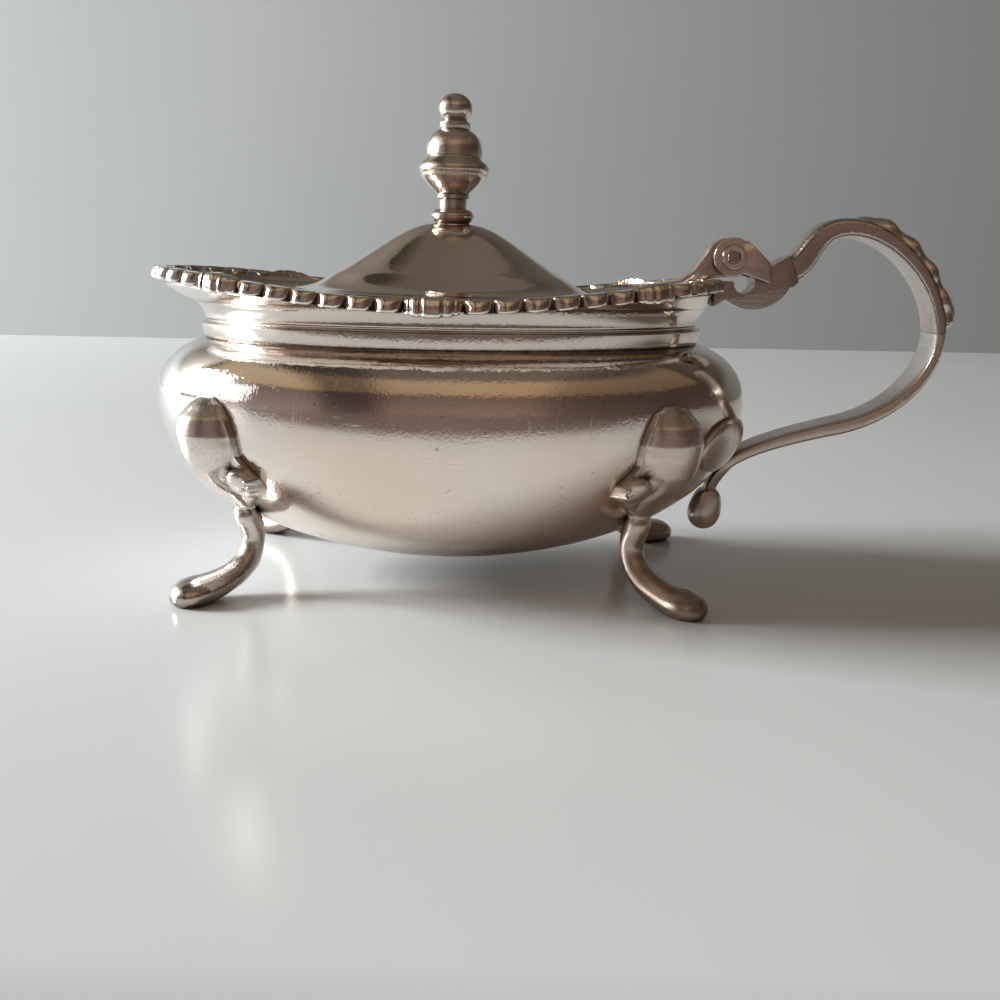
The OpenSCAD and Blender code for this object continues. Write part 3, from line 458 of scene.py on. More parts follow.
def make_bowl():
    quarter = np.linspace(0, math.pi / 2, 64)
    t = np.linspace(0, 1, 44)[1:]
    reed = [[0.0, -0.12], [0.04, -0.1], [0.07, 0.04], [0.1, 0.08], [0.5, 0.3],
            [0.9, 0.5], [0.94, 0.5], [0.97, 0.42], [1.0, 0.1]]
    groove = np.linspace(0, 1, 9)[1:-1]
    cove = np.linspace(0, 1, 16)
    outside = np.concatenate([
        belly_curve(BELLY_A, BELLY_RISE, quarter),
        shoulder(BELLY_A, NECK_A, GROOVE_Z, t),
        [[NECK_A + out, GROOVE_Z + REED_HEIGHT * up] for up, out in reed],
        np.stack([NECK_A - 0.2 * np.sin(math.pi * groove), REED_Z + (COVE_Z - REED_Z) * groove], -1),
        np.stack([NECK_A + BAND_FLARE * cove**2, COVE_Z + (NECK_Z - COVE_Z) * cove], -1),
    ])
    inner_neck = NECK_A - BOWL_WALL
    mouth = [[LEDGE_A, NECK_Z], [LEDGE_A, NECK_Z - LEDGE_THICKNESS], [inner_neck, NECK_Z - LEDGE_THICKNESS]]
    inside = np.concatenate([
        belly_curve(BELLY_A - BOWL_WALL, BELLY_RISE - BOWL_WALL, quarter[::2]),
        shoulder(BELLY_A - BOWL_WALL, inner_neck, GROOVE_Z - BOWL_WALL * 0.4, t[::2]),
    ])
    profile = np.concatenate([outside, mouth, inside[::-1]])
    piece("silver_bowl", turned(profile), placed, "pot", polished_silver, ["bowl"], 60)


make_bowl()

# Rim


def oval_angle(s):
    return np.radians(s + 5 * np.sin(np.radians(2 * s)))


def overhang(s):
    c = np.cos(oval_angle(s))
    front = (FRONT_OVERHANG - SIDE_OVERHANG) * np.abs(c) ** 3
    hinge = (HINGE_OVERHANG - SIDE_OVERHANG) * np.abs(c) ** 4
    return SIDE_OVERHANG + np.where(c < 0, front, hinge)


def edge_z(s):
    c = np.cos(oval_angle(s))
    rise = np.where(c < 0, FRONT_RISE, HINGE_RISE)
    return NECK_Z + EDGE_HEIGHT + rise * (1 - (1 - c * c) ** (RISE_POWER / 2))


def rim_point(s, out, z):
    t = oval_angle(np.asarray(s, float))
    out, z = np.broadcast_to(out, t.shape), np.broadcast_to(z, t.shape)
    return np.stack([(NECK_A + out) * np.cos(t), (NECK_A * OVAL + out) * np.sin(t), z], -1)


def flange_point(s):
    """Where the border meets the edge of the flange."""
    return rim_point(s, overhang(s) - BORDER_WIDTH + SOLDER, edge_z(s))


def make_rim():
    s = np.linspace(0, 360, 420, endpoint=False)
    flat = 0 * s
    reach = overhang(s) - BORDER_WIDTH
    edge = edge_z(s) - RIM_THICKNESS / 2
    under = edge - UNDER_DROP * (edge_z(s) - NECK_Z - EDGE_HEIGHT)
    low = NECK_Z + SOLDER
    root = low + ROOT_LIFT
    sweep = reach - BAND_FLARE
    ring = [(-COLLAR_WALL + flat, low + flat)]
    for t in np.linspace(0, 1, 14):
        out, up = bezier([[0, 0], [0.3, 0.1], [0.68, 0.62], [1, 1]], t)
        ring.append((BAND_FLARE + sweep * out, low + (under - low) * up))
    ring += [(reach + 0.05, under + 0.12), (reach, under + 0.25), (reach, edge + RIM_THICKNESS)]
    for t in np.linspace(1, 0, 12):
        out, up = bezier([[0, 0], [0.4, 0.02], [0.82, 0.5], [1, 1]], t)
        inward = COLLAR_FILLET + (reach - COLLAR_FILLET) * out
        ring.append((inward, root + RIM_THICKNESS + 0.1 + (edge - root - 0.1) * up))
    ring += [
        (-COLLAR_WALL * 0.6 + flat, root + RIM_THICKNESS * 0.8 + flat),
        (-COLLAR_WALL + flat, root + RIM_THICKNESS * 0.45 + flat),
    ]
    made = skin(np.stack([rim_point(s, out, z) for out, z in ring], 1), loop=True)
    piece("flared_rim", made, placed, "pot", polished_silver, ["rim_mount"], 50)


make_rim()


def border_rings(s, width, height, points=33):
    """Upright rounded sections on the edge of the flange."""
    base = overhang(s) - BORDER_WIDTH + SOLDER
    rings = []
    for k in np.linspace(-math.pi / 2, math.pi / 2, points):
        out = width * max(math.cos(k), 0) ** 0.2 * (1 - BORDER_LEAN * math.sin(k))
        rings.append(rim_point(s, base + out, edge_z(s) + height / 2 * math.sin(k)))
    return np.stack(rings, 1)


def lobe_rows():
    """First place, last place and number of lobes of each row on the rim."""
    side_end = 90 - SIDE_LEAF_HALF - LEAF_GAP
    corner_in = CORNER_LEAF_PLACE + CORNER_LEAF_HALF + LEAF_GAP
    corner_out = CORNER_LEAF_PLACE - CORNER_LEAF_HALF - LEAF_GAP
    rows = [(180 - corner_out, 180 + corner_out, FRONT_LOBES)]
    for side in (1, -1):
        rows += [
            (side * (180 - side_end), side * (180 - corner_in), SIDE_LOBES),
            (side * corner_in, side * side_end, SIDE_LOBES),
            (side * HINGE_END_PLACE, side * corner_out, HINGE_LOBES),
        ]
    return rows


class Tree:
    """A Geometry Nodes tree with named inputs, made one line each."""

    def __init__(self, name, floats):
        self.tree = bpy.data.node_groups.new(name, "GeometryNodeTree")
        face = self.tree.interface
        face.new_socket("Geometry", in_out="INPUT", socket_type="NodeSocketGeometry")
        face.new_socket("Geometry", in_out="OUTPUT", socket_type="NodeSocketGeometry")
        self.ids = {}
        for label, value in floats.items():
            socket = face.new_socket(label, in_out="INPUT", socket_type="NodeSocketFloat")
            socket.default_value = value
            self.ids[label] = socket.identifier
        socket = face.new_socket("Finish", in_out="INPUT", socket_type="NodeSocketMaterial")
        self.ids["Finish"] = socket.identifier
        self.start = self.tree.nodes.new("NodeGroupInput")
        self.end = self.tree.nodes.new("NodeGroupOutput")

    def value(self, label):
        return self.start.outputs[label]

    def add(self, kind, settings=None, inputs=()):
        node = self.tree.nodes.new(kind)
        for key, value in (settings or {}).items():
            setattr(node, key, value)
        for key, value in dict(inputs).items():
            feed(self.tree, node.inputs[key], value)
        return node

    def maths(self, operation, *values):
        return self.add("ShaderNodeMath", {"operation": operation}, enumerate(values)).outputs[0]

    def attribute(self, name, kind):
        node = self.add("GeometryNodeInputNamedAttribute", {"data_type": kind}, {"Name": name})
        return next(o for o in node.outputs if o.enabled and o.name == "Attribute")

    def finish(self, geometry):
        whole = self.add("GeometryNodeRealizeInstances", inputs={"Geometry": geometry})
        dressed = self.add(
            "GeometryNodeSetMaterial", inputs={"Geometry": whole.outputs[0], "Material": self.value("Finish")}
        )
        self.tree.links.new(dressed.outputs[0], self.end.inputs[0])

    def apply(self, obj, finish, **sizes):
        """Runs the tree on an object and leaves a plain mesh."""
        modifier = obj.modifiers.new("made", "NODES")
        modifier.node_group = self.tree
        for label, value in sizes.items():
            modifier[self.ids[label.replace("_", " ")]] = value
        modifier[self.ids["Finish"]] = finish
        make_plain(obj)


def lobe_tree():
    """One upright thumb-shaped lobe at each place on the rim, leaning a little and standing outwards."""
    g = Tree("gadroon_lobes", {
        "Lobe width": BORDER_WIDTH * MM,
        "Lobe height": BORDER_HEIGHT * MM,
        "Back": LOBE_BACK,
        "Lean": LOBE_LEAN,
    })
    grid = {"Size X": 2.0, "Size Y": 2.0, "Vertices X": 31, "Vertices Y": 49}
    sheet = g.add("GeometryNodeMeshGrid", inputs=grid)
    where = g.add("ShaderNodeSeparateXYZ", inputs={0: g.add("GeometryNodeInputPosition").outputs[0]})
    along, turn = where.outputs[0], g.maths("MULTIPLY", where.outputs[1], math.pi)

    def rounded(value, power, root):
        rest = g.maths("SUBTRACT", 1.0, g.maths("POWER", g.maths("ABSOLUTE", value), power))
        return g.maths("POWER", g.maths("MAXIMUM", rest, 0.0), root)

    cosine, sine = g.maths("COSINE", turn), g.maths("SINE", turn)
    face = g.maths("POWER", g.maths("MAXIMUM", cosine, 0.0), 0.16)
    back = g.maths("MULTIPLY", g.maths("MINIMUM", cosine, 0.0), g.value("Back"))
    steep = g.maths("DIVIDE", g.maths("SUBTRACT", along, LOBE_PEAK), 1 - LOBE_PEAK)
    steep = g.maths("MAXIMUM", steep, 0.0)
    gentle = g.maths("DIVIDE", g.maths("SUBTRACT", LOBE_PEAK, along), 1 + LOBE_PEAK)
    gentle = g.maths("MAXIMUM", gentle, 0.0)
    fall = g.maths("ADD", g.maths("POWER", steep, 1.6), g.maths("POWER", gentle, 2.4))
    swell = g.maths("SUBTRACT", 1.0, g.maths("MULTIPLY", fall, LOBE_FALL))
    swell = g.maths("MULTIPLY", swell, rounded(along, 16.0, 0.3))
    out = g.maths("MULTIPLY", g.maths("ADD", face, back), swell)
    rise = g.maths("MULTIPLY", sine, rounded(along, 9.0, 0.4))
    out = g.maths("MULTIPLY", out, g.maths("SUBTRACT", 1.0, g.maths("MULTIPLY", rise, BORDER_LEAN)))
    out = g.maths("MULTIPLY", out, g.value("Lobe width"))
    up = g.maths("MULTIPLY", g.maths("MULTIPLY", rise, g.value("Lobe height")), 0.5)
    side = g.maths("SUBTRACT", g.maths("MULTIPLY", along, 0.5), g.maths("MULTIPLY", rise, g.value("Lean")))
    place = g.add("ShaderNodeCombineXYZ", inputs={0: side, 1: out, 2: up})
    bent = g.add(
        "GeometryNodeSetPosition", inputs={"Geometry": sheet.outputs[0], "Position": place.outputs[0]}
    )
    closed = g.add("GeometryNodeMergeByDistance", inputs={"Geometry": bent.outputs[0], "Distance": 1e-6})
    turned_to = g.add(
        "FunctionNodeAxesToRotation",
        {"primary_axis": "X", "secondary_axis": "Y"},
        {0: g.attribute("along", "FLOAT_VECTOR"), 1: g.attribute("outward", "FLOAT_VECTOR")},
    )
    size = g.add("ShaderNodeCombineXYZ", inputs={0: g.attribute("pitch", "FLOAT"), 1: 1.0, 2: 1.0})
    laid = g.add(
        "GeometryNodeInstanceOnPoints",
        inputs={
            "Points": g.value("Geometry"),
            "Instance": closed.outputs[0],
            "Rotation": turned_to.outputs[0],
            "Scale": size.outputs[0],
        },
    )
    g.finish(laid.outputs[0])
    return g


def make_border():
    places, along, outward, pitch, cores = [], [], [], [], []
    for first, last, count in lobe_rows():
        step = (last - first) / count
        for k in range(count):
            s = first + step * (k + 0.5)
            start, end = flange_point(s - step / 2), flange_point(s + step / 2)
            outer = unit(rim_point(s, overhang(s), edge_z(s)) - rim_point(s, 0.0, edge_z(s)))
            run = unit(end - start)
            places.append(flange_point(s))
            along.append(run if np.cross(run, outer)[2] > 0 else -run)
            outward.append(outer)
            pitch.append(np.linalg.norm(end - start) * LOBE_OVERLAP)
        s = np.linspace(first, last, count * 6 + 1)
        base = overhang(s) - BORDER_WIDTH + SOLDER
        rings = [
            rim_point(s, base + BORDER_WIDTH * out, edge_z(s) + BORDER_HEIGHT * up)
            for out, up in BORDER_STRIP
        ]
        cores.append(skin(np.stack(rings, 1)))
    obj = mesh_object("gadroon_lobes", placed(places), [])
    for label, kind, field, values in (
        ("along", "FLOAT_VECTOR", "vector", along),
        ("outward", "FLOAT_VECTOR", "vector", outward),
        ("pitch", "FLOAT", "value", np.array(pitch) * MM),
    ):
        layer = obj.data.attributes.new(label, kind, "POINT")
        layer.data.foreach_set(field, np.asarray(values, np.float32).ravel())
    lobe_tree().apply(
        obj, polished_silver,
        Lobe_width=BORDER_WIDTH * MM, Lobe_height=BORDER_HEIGHT * MM, Back=LOBE_BACK, Lean=LOBE_LEAN,
    )
    finish_piece(obj, "pot", polished_silver, ["gadroon_border"], 60)
    points, faces = [], []
    for p, f in cores:
        start = sum(len(q) for q in points)
        points.append(p)
        faces += [[start + v for v in face] for face in f]
    core = mesh_object("border_strip", placed(np.concatenate(points)), faces)
    finish_piece(core, "pot", polished_silver, [], 60)


make_border()


def make_leaves():
    """Leaf that breaks the border: a tall middle lobe with two smaller ones on each side of it."""
    for name, place, half in (
        ("leaf_front", -90, SIDE_LEAF_HALF),
        ("leaf_back", 90, SIDE_LEAF_HALF),
        ("leaf_front_left", CORNER_LEAF_PLACE - 180, CORNER_LEAF_HALF),
        ("leaf_back_left", 180 - CORNER_LEAF_PLACE, CORNER_LEAF_HALF),
        ("leaf_front_right", -CORNER_LEAF_PLACE, CORNER_LEAF_HALF),
        ("leaf_back_right", CORNER_LEAF_PLACE, CORNER_LEAF_HALF),
    ):
        u = np.linspace(-1, 1, 97)
        away = np.abs(u)
        body = (1 - away**2.4) ** 0.7
        rib = np.ones_like(u)
        for notch, depth, notch_half in ((0.36, 0.2, 0.08), (0.72, 0.14, 0.06)):
            rib = rib - depth * np.exp(-(((away - notch) / notch_half) ** 2))
        width = BORDER_WIDTH * (0.3 + 0.92 * body * rib)
        height = BORDER_HEIGHT * (0.72 + 0.8 * body * rib)
        rings = border_rings(place + half * u, width, height)
        piece("cast_" + name, skin(rings), placed, "pot", polished_silver, [name], 60)


make_leaves()

# Legs, drawn for the corner at +X and +Y

LEG_SPREAD, LEG_TURN = math.radians(40), math.radians(45)
FOOT_LENGTH, ANKLE_HEIGHT, ANKLE_IN = 11.2, 6.8, 0.9
KNEE_HEIGHT, KNEE_HALF_WIDTH = 3.4, 3.6
ROOT_Z = BELLY_Z - 12.2
ROOT_X = float(bowl_at(ROOT_Z)) * math.cos(LEG_SPREAD)
ROOT_Y = float(bowl_at(ROOT_Z)) * OVAL * math.sin(LEG_SPREAD)
PLATE_EDGE, PLATE_TOP, PLATE_END = 0.8, -1.4, 12.4
KNEE_LEAN, LEAN_FADE = 1.2, 8.0
# At each drop below the widest line of the belly: shares of the knee's height and half width, then the
# half widths of the plate in millimetres
KNEE_RISE = [
    [PLATE_TOP, 0.25], [-0.6, 0.5], [1, 0.8], [3, 0.97], [5, 1],
    [7, 0.97], [9, 0.8], [11, 0.5], [PLATE_END, 0.36],
]
KNEE_SPREAD = [
    [PLATE_TOP, 0.3], [-0.6, 0.62], [1, 0.88], [3, 1], [5, 0.98], [7, 0.86], [9, 0.68], [PLATE_END, 0.42],
]
OUTER_EDGE = [
    [PLATE_TOP, 1], [-0.6, 2.3], [1, 3.3], [3, 3.95], [5, 4], [7, 3.6], [9, 2.9], [11, 2.1], [PLATE_END, 1.6],
]
INNER_EDGE = [
    [PLATE_TOP, 1], [-0.6, 2.3], [1, 3.3], [3, 3.9], [5.5, 4], [6.8, 5],
    [8, 6], [9.4, 6.2], [10.4, 5.2], [11.4, 3], [PLATE_END, 1.6],
]
SCROLL_SIDE, SCROLL_DROP, SCROLL_RADIUS, SCROLL_HEIGHT = 4.2, 8.8, 2.0, 1.7
GROOVE_DEPTH, GROOVE_RADIUS, GROOVE_HALF = 0.35, 1.12, 0.13
LUG_SIDE, LUG_DROP, LUG_HALF_WIDTH, LUG_HALF_LENGTH, LUG_HEIGHT = 6.0, 9.2, 1.3, 1.6, 1.5
FRONT_POINTS, BACK_POINTS = 73, 17


def lookup(x, table):
    xs, ys = zip(*table)
    return np.interp(x, xs, ys)


def leg_point(out, side, z):
    out, side, z = np.broadcast_arrays(out, side, z)
    return np.stack([
        ROOT_X + out * math.cos(LEG_TURN) - side * math.sin(LEG_TURN),
        ROOT_Y + out * math.sin(LEG_TURN) + side * math.cos(LEG_TURN),
        z,
    ], -1)


def bowl_out(side, z):
    x = ROOT_X - side * math.sin(LEG_TURN)
    y = (ROOT_Y + side * math.cos(LEG_TURN)) / OVAL
    dx, dy = math.cos(LEG_TURN), math.sin(LEG_TURN) / OVAL
    a, b, c = dx * dx + dy * dy, x * dx + y * dy, x * x + y * y - bowl_at(z) ** 2
    return (-b + np.sqrt(np.maximum(0, b * b - a * c))) / a


def plate_height(side, drop):
    across = side / (KNEE_HALF_WIDTH * lookup(drop, KNEE_SPREAD))
    crown = KNEE_HEIGHT * lookup(drop, KNEE_RISE) - PLATE_EDGE * 0.5
    knee = crown * np.sqrt(np.maximum(0, 1 - across**2))
    away = np.hypot(side - SCROLL_SIDE, drop - SCROLL_DROP) / SCROLL_RADIUS
    scroll = SCROLL_HEIGHT * np.sqrt(np.maximum(0, 1 - away * away))
    ring = GROOVE_DEPTH * np.exp(-(((away - GROOVE_RADIUS) / GROOVE_HALF) ** 2))
    near = np.hypot((side - LUG_SIDE) / LUG_HALF_WIDTH, (drop - LUG_DROP) / LUG_HALF_LENGTH)
    rough = 0.16 * np.sin(7 * side + 3 * drop) + 0.14 * np.sin(9 * drop - 4 * side)
    lug = (LUG_HEIGHT + rough) * np.sqrt(np.maximum(0, 1 - near * near))
    edge = PLATE_EDGE * min(1, 0.3 + (drop - PLATE_TOP) / 3)
    return SOLDER + edge + np.maximum(np.maximum(knee, scroll) - ring * (knee > 0.3), lug)


def plate_ring(drop):
    z = BELLY_Z - drop
    low, high = -lookup(drop, OUTER_EDGE), lookup(drop, INNER_EDGE)
    lean = KNEE_LEAN * min(1, (PLATE_END - drop) / LEAN_FADE)
    side = np.linspace(low, high, FRONT_POINTS)
    rear = np.linspace(high, low, BACK_POINTS)
    return np.concatenate([
        leg_point(bowl_out(side + lean, z) + plate_height(side, drop), side + lean, z),
        leg_point(bowl_out(rear + lean, z) + SOLDER, rear + lean, z),
    ])


def shank(out, z, turn, thick, wide):
    turn = math.radians(turn)
    t = np.radians(np.concatenate([np.linspace(180, 0, FRONT_POINTS), np.linspace(-20, -160, BACK_POINTS)]))
    lift = thick * np.sin(t)
    return leg_point(out + lift * math.cos(turn), wide * np.cos(t), z + lift * math.sin(turn))


def make_legs():
    def run(share):
        return FOOT_LENGTH * share - ANKLE_IN

    upper = [plate_ring(d) for d in np.linspace(PLATE_TOP, PLATE_END, 90)]
    lower = [
        shank(0, (ROOT_Z + ANKLE_HEIGHT) / 2 + 1, -14, 1.5, 1.6),
        shank(run(0), ANKLE_HEIGHT, -2, 1.4, 1.55),
        shank(run(0.06), ANKLE_HEIGHT * 0.68, 32, 1.45, 1.65),
        shank(run(0.2), ANKLE_HEIGHT * 0.46, 52, 1.5, 1.8),
        shank(run(0.385), ANKLE_HEIGHT * 0.325, 68, 1.6, 2.05),
        shank(run(0.57), 1.7, 80, 1.75, 2.45),
        shank(run(0.74), 1.5, 88, 1.8, 2.75),
        shank(run(0.875), 1.35, 92, 1.6, 2.45),
        shank(run(0.96), 1.25, 94, 1.15, 1.7),
        shank(run(1), 1.2, 95, 0.6, 0.8),
    ]
    free = smooth_through(upper[-4:] + lower, 110)
    joined = next(i for i in range(len(free)) if free[i].mean(0)[2] < upper[-1].mean(0)[2] - 0.05)
    rings = np.concatenate([np.asarray(upper), free[joined:]])
    rings[..., 2] = np.maximum(rings[..., 2], 0)
    for name, x_side, y_side in (
        ("leg_front_left", -1, -1),
        ("leg_front_right", 1, -1),
        ("leg_back_left", -1, 1),
        ("leg_back_right", 1, 1),
    ):
        corner = rings * [x_side, y_side, 1]
        piece("cast_" + name, skin(corner), placed, "pot", cast_silver, [name], 70)


make_legs()

# Handle

STRAP_HALF, STRAP_THICKNESS, LEAF_THICKNESS = 3.4, 1.5, 0.75
DROP_LENGTH, DROP_WIDEST = 5.4, 0.56
STRAP_ROOT, STRAP_CREST, STRAP_END, STRAP_SAG, KNOB_RADIUS = 1.15, 0.8, 0.5, 0.62, 1.1
STRAP_START = np.array([PIN_X + 7.9, PIN_Z - 1.3])
CREST = np.array([PIN_X + 14.5, PIN_Z + 3.85])
SEAM = np.array([PIN_X + 26.7, PIN_Z - 9])
SAG = np.array([PIN_X + 14.8, PIN_Z - 21.4])
FOOT_Z = BELLY_Z - 8
UPPER_BOW = [STRAP_START, STRAP_START + [2.2, 0.9], CREST - [4.6, 0], CREST]
UPPER_TURN = [CREST, CREST + [5.8, 0], SEAM + [-0.2, 6.4], SEAM]
LOWER_TURN = [SEAM, SEAM + [0.2, -5.8], SAG + [6.9, 1.6], SAG]
FOOT_NORMAL = bowl_normal(np.array(FOOT_Z))
HEEL = np.array([float(bowl_at(FOOT_Z)), FOOT_Z]) + FOOT_NORMAL * (STRAP_THICKNESS / 2 + 2 * SOLDER)
ALONG_BOWL = np.array([FOOT_NORMAL[1], -FOOT_NORMAL[0]])
LOWER_RUN = [SAG, SAG - [5.6, 1.3], HEEL - ALONG_BOWL * 2.6, HEEL]
DROP_TOP = HEEL + ALONG_BOWL * 3.2 + [0.1, -0.8]


def frame_at(path, t):
    at = bezier(path, t)
    along = unit(bezier(path, min(1, t + 0.005)) - bezier(path, max(0, t - 0.005)))
    return at, np.array([-along[1], along[0]])


def strap_ring(path, t, half_width, half_thickness, corner=0.42, points=48):
    at, out = frame_at(path, t)
    k = np.radians(np.linspace(360, 0, points, endpoint=False) + 3.75)
    c, s = np.cos(k), np.sin(k)
    w = half_width * np.sign(c) * np.abs(c) ** corner
    h = half_thickness * np.sign(s) * np.abs(s) ** corner
    return np.stack([at[0] + out[0] * h, w, at[1] + out[1] * h], -1)


def turn_half(t):
    """Half thickness of the strap between its crest and its seam."""
    return STRAP_THICKNESS * (STRAP_CREST + (STRAP_END - STRAP_CREST) * t)


def make_upper_strap():
    steps = np.linspace(0, 1, 56)
    rings = []
    for t in steps:
        half = STRAP_THICKNESS * (STRAP_ROOT + (STRAP_CREST - STRAP_ROOT) * t)
        rings.append(strap_ring(UPPER_BOW, t, STRAP_HALF * (0.78 + 0.18 * t), half))
    for t in steps[1:]:
        rings.append(strap_ring(UPPER_TURN, t, STRAP_HALF * (0.96 + 0.04 * t), turn_half(t)))
    piece("strap_upper", skin(rings), placed, "pot", worn_silver, ["handle_upper"], 60)


def make_lower_strap():
    steps = np.linspace(0, 1, 56)
    thin, full = STRAP_THICKNESS * STRAP_END, STRAP_THICKNESS * STRAP_SAG
    tail = [HEEL, HEEL + ALONG_BOWL * 1.5, DROP_TOP + [0.3, 1.2], DROP_TOP]
    curl = ((0, 0), (0.1, 0.33), (0.6, 0.67), (1, 1))
    hang = [DROP_TOP - [inward, DROP_LENGTH * down] for inward, down in curl]
    rings = []
    for t in steps:
        rings.append(strap_ring(LOWER_TURN, 0.004 + 0.996 * t, STRAP_HALF, thin + (full - thin) * t))
    for t in steps[1:]:
        rings.append(strap_ring(LOWER_RUN, t, STRAP_HALF * (1 - 0.25 * t), full + (thin - full) * t))
    for t in np.linspace(0, 1, 14)[1:]:
        rings.append(strap_ring(tail, t, STRAP_HALF * (0.75 - 0.35 * t), thin * (1 - 0.1 * t)))
    for k in np.linspace(0, math.pi, 34)[1:]:
        t = 0.5 - 0.5 * math.cos(k)
        off = (DROP_WIDEST - t) / DROP_WIDEST if t < DROP_WIDEST else (t - DROP_WIDEST) / (1 - DROP_WIDEST)
        swell = math.sqrt(max(0, 1 - off * off))
        neck = (1 - swell) * (1 - t)
        wide = 0.1 + 1.9 * swell + STRAP_HALF * 0.4 * neck
        thick = 0.1 + 2.1 * swell + thin * 0.9 * neck
        rings.append(strap_ring(hang, t, wide, thick, 0.6 + 0.4 * min(1, 3 * t)))
    piece("strap_lower", skin(rings), placed, "pot", cast_silver, ["handle_lower"], 60)


def make_strap_leaf():
    """Leaf on the outside of the strap: rounded bumps, a vein down the middle and a knob at the tip."""
    first, last, scallops = 0.06, 0.985, 5
    rings = []
    for u in np.linspace(0, 1, 180):
        t = first + (last - first) * u
        at, out = frame_at(UPPER_TURN, t)
        wave = 0.5 + 0.5 * math.cos(2 * math.pi * scallops * u)
        opening = math.sin(math.pi / 2 * min(1, u / 0.16))
        closing = math.sin(math.pi / 2 * min(1, (1 - u) / 0.06))
        w = STRAP_HALF * (0.9 + 0.1 * wave) * (0.3 + 0.7 * opening) * (0.45 + 0.55 * closing)
        h = LEAF_THICKNESS * (1.25 + 0.55 * wave) * (0.15 + 0.85 * opening) * (0.3 + 0.7 * closing)
        h += KNOB_RADIUS * 0.75 * math.exp(-(((u - 0.89) / 0.055) ** 2))
        k = np.linspace(math.pi, 0, 41)
        vein = 1 - 0.16 * np.exp(-((np.cos(k) / 0.12) ** 2))
        up = turn_half(t) - 0.3 + (h + 0.3) * np.sin(k) ** 0.7 * vein
        rings.append(np.stack([at[0] + out[0] * up, w * np.cos(k), at[1] + out[1] * up], -1))
    piece("strap_leaf", skin(rings), placed, "pot", cast_silver, ["handle_leaf"], 50)


def make_foot_lobes():
    low, tall, inner, spread = FOOT_Z + 0.2, 6.8, STRAP_HALF + 1.2, 10.4
    rings = []
    for u in np.linspace(0, 1, 48):
        z = low + tall * (0.5 - 0.5 * math.cos(math.pi * u))
        curve = math.sqrt(max(0.03, 1 - (2 * (z - low) / tall - 1) ** 2))
        middle, half, a = inner + spread * (0.42 + 0.12 * u), spread * 0.44 * curve, float(bowl_at(z))

        def lobe(s, h):
            t = np.arcsin((middle + half * s) / (a * OVAL))
            return np.stack([(a + h) * np.cos(t), (a * OVAL + h) * np.sin(t), z + 0 * s], -1)

        front = np.linspace(1, -1, 45)
        rear = np.linspace(-1, 1, 17)
        rise = 0.75 * curve * np.sqrt(np.maximum(0, 1 - front**2))
        hollow = 0.5 * max(0, curve - 0.45) * np.maximum(0, 0.72 - np.abs(front))
        crown = SOLDER + 0.45 + rise - hollow
        rings.append(np.concatenate([lobe(front, crown), lobe(rear, SOLDER + 0 * rear)]))
    points, faces = skin(rings)
    both = np.concatenate([points, points * [1, -1, 1]])
    faces = faces + [[len(points) + v for v in f] for f in faces]
    piece("strap_lobes", (both, faces), placed, "pot", cast_silver, ["handle_lobes"], 60)


make_upper_strap()
make_lower_strap()
make_strap_leaf()
make_foot_lobes()

# Hinge

for label, node, body, finish, slot, width in (
    ("hinge_beak", "hinge_block", "pot", worn_silver, "cast_silver", 0.3),
    ("hinge_cheek_front", "cheek_front", "pot", cast_silver, "cast_silver", 0.16),
    ("hinge_cheek_back", "cheek_back", "pot", cast_silver, "cast_silver", 0.16),
    ("hinge_rivet", "hinge_pin", "pot", dark_silver, "dark_silver", 0.14),
    ("hinge_rings", "hinge_washers", "pot", polished_silver, "polished_silver", 0.1),
    ("lid_arm", "cover_arm", "lid", cast_silver, "cast_silver", 0.2),
    ("stud_nut", "finial_nut", "lid", dark_silver, "dark_silver", 0.12),
):
    softened(label, node, body, finish, width)

# Liner


def make_liner():
    base, top = BOWL_UNDERSIDE + BOWL_WALL + LINER_CLEAR, LEDGE_A - LEDGE_PLAY
    t = np.linspace(0, 1, 40)
    outer = bezier([[0, base], [top * 0.95, base], [top * 0.94, BELLY_Z - 6], [top, NECK_Z + SOLDER]], t)
    bore, floor = top - GLASS_WALL, base + GLASS_WALL
    inner = bezier([[0, floor], [bore * 0.94, floor], [bore * 0.95, BELLY_Z - 5], [bore, LINER_Z]], t)
    k = np.linspace(-math.pi / 2, math.pi / 2, 10)
    half = GLASS_RIM / 2
    edge = np.stack([LINER_A - half + half * np.cos(k), NECK_Z + SOLDER + half + half * np.sin(k)], -1)
    made = turned(np.concatenate([outer, edge, inner[::-1]]), MOUTH_OVAL, 192)
    piece("blue_liner", made, placed, "pot", cobalt_glass, ["glass_liner"], 60)


make_liner()

# Cover


def dome_curve(foot, low, high, count):
    def at(out, up):
        return [foot * out, low + (high - low) * up]

    t = np.linspace(0, 1, count)
    return np.concatenate([
        bezier([[foot, low], at(0.78, 0.01), at(0.64, 0.28), at(0.52, 0.48)], t),
        bezier([at(0.52, 0.48), at(0.395, 0.69), at(0.25, 0.98), at(0.124, 1)], t[1:]),
        [[0, high]],
    ])


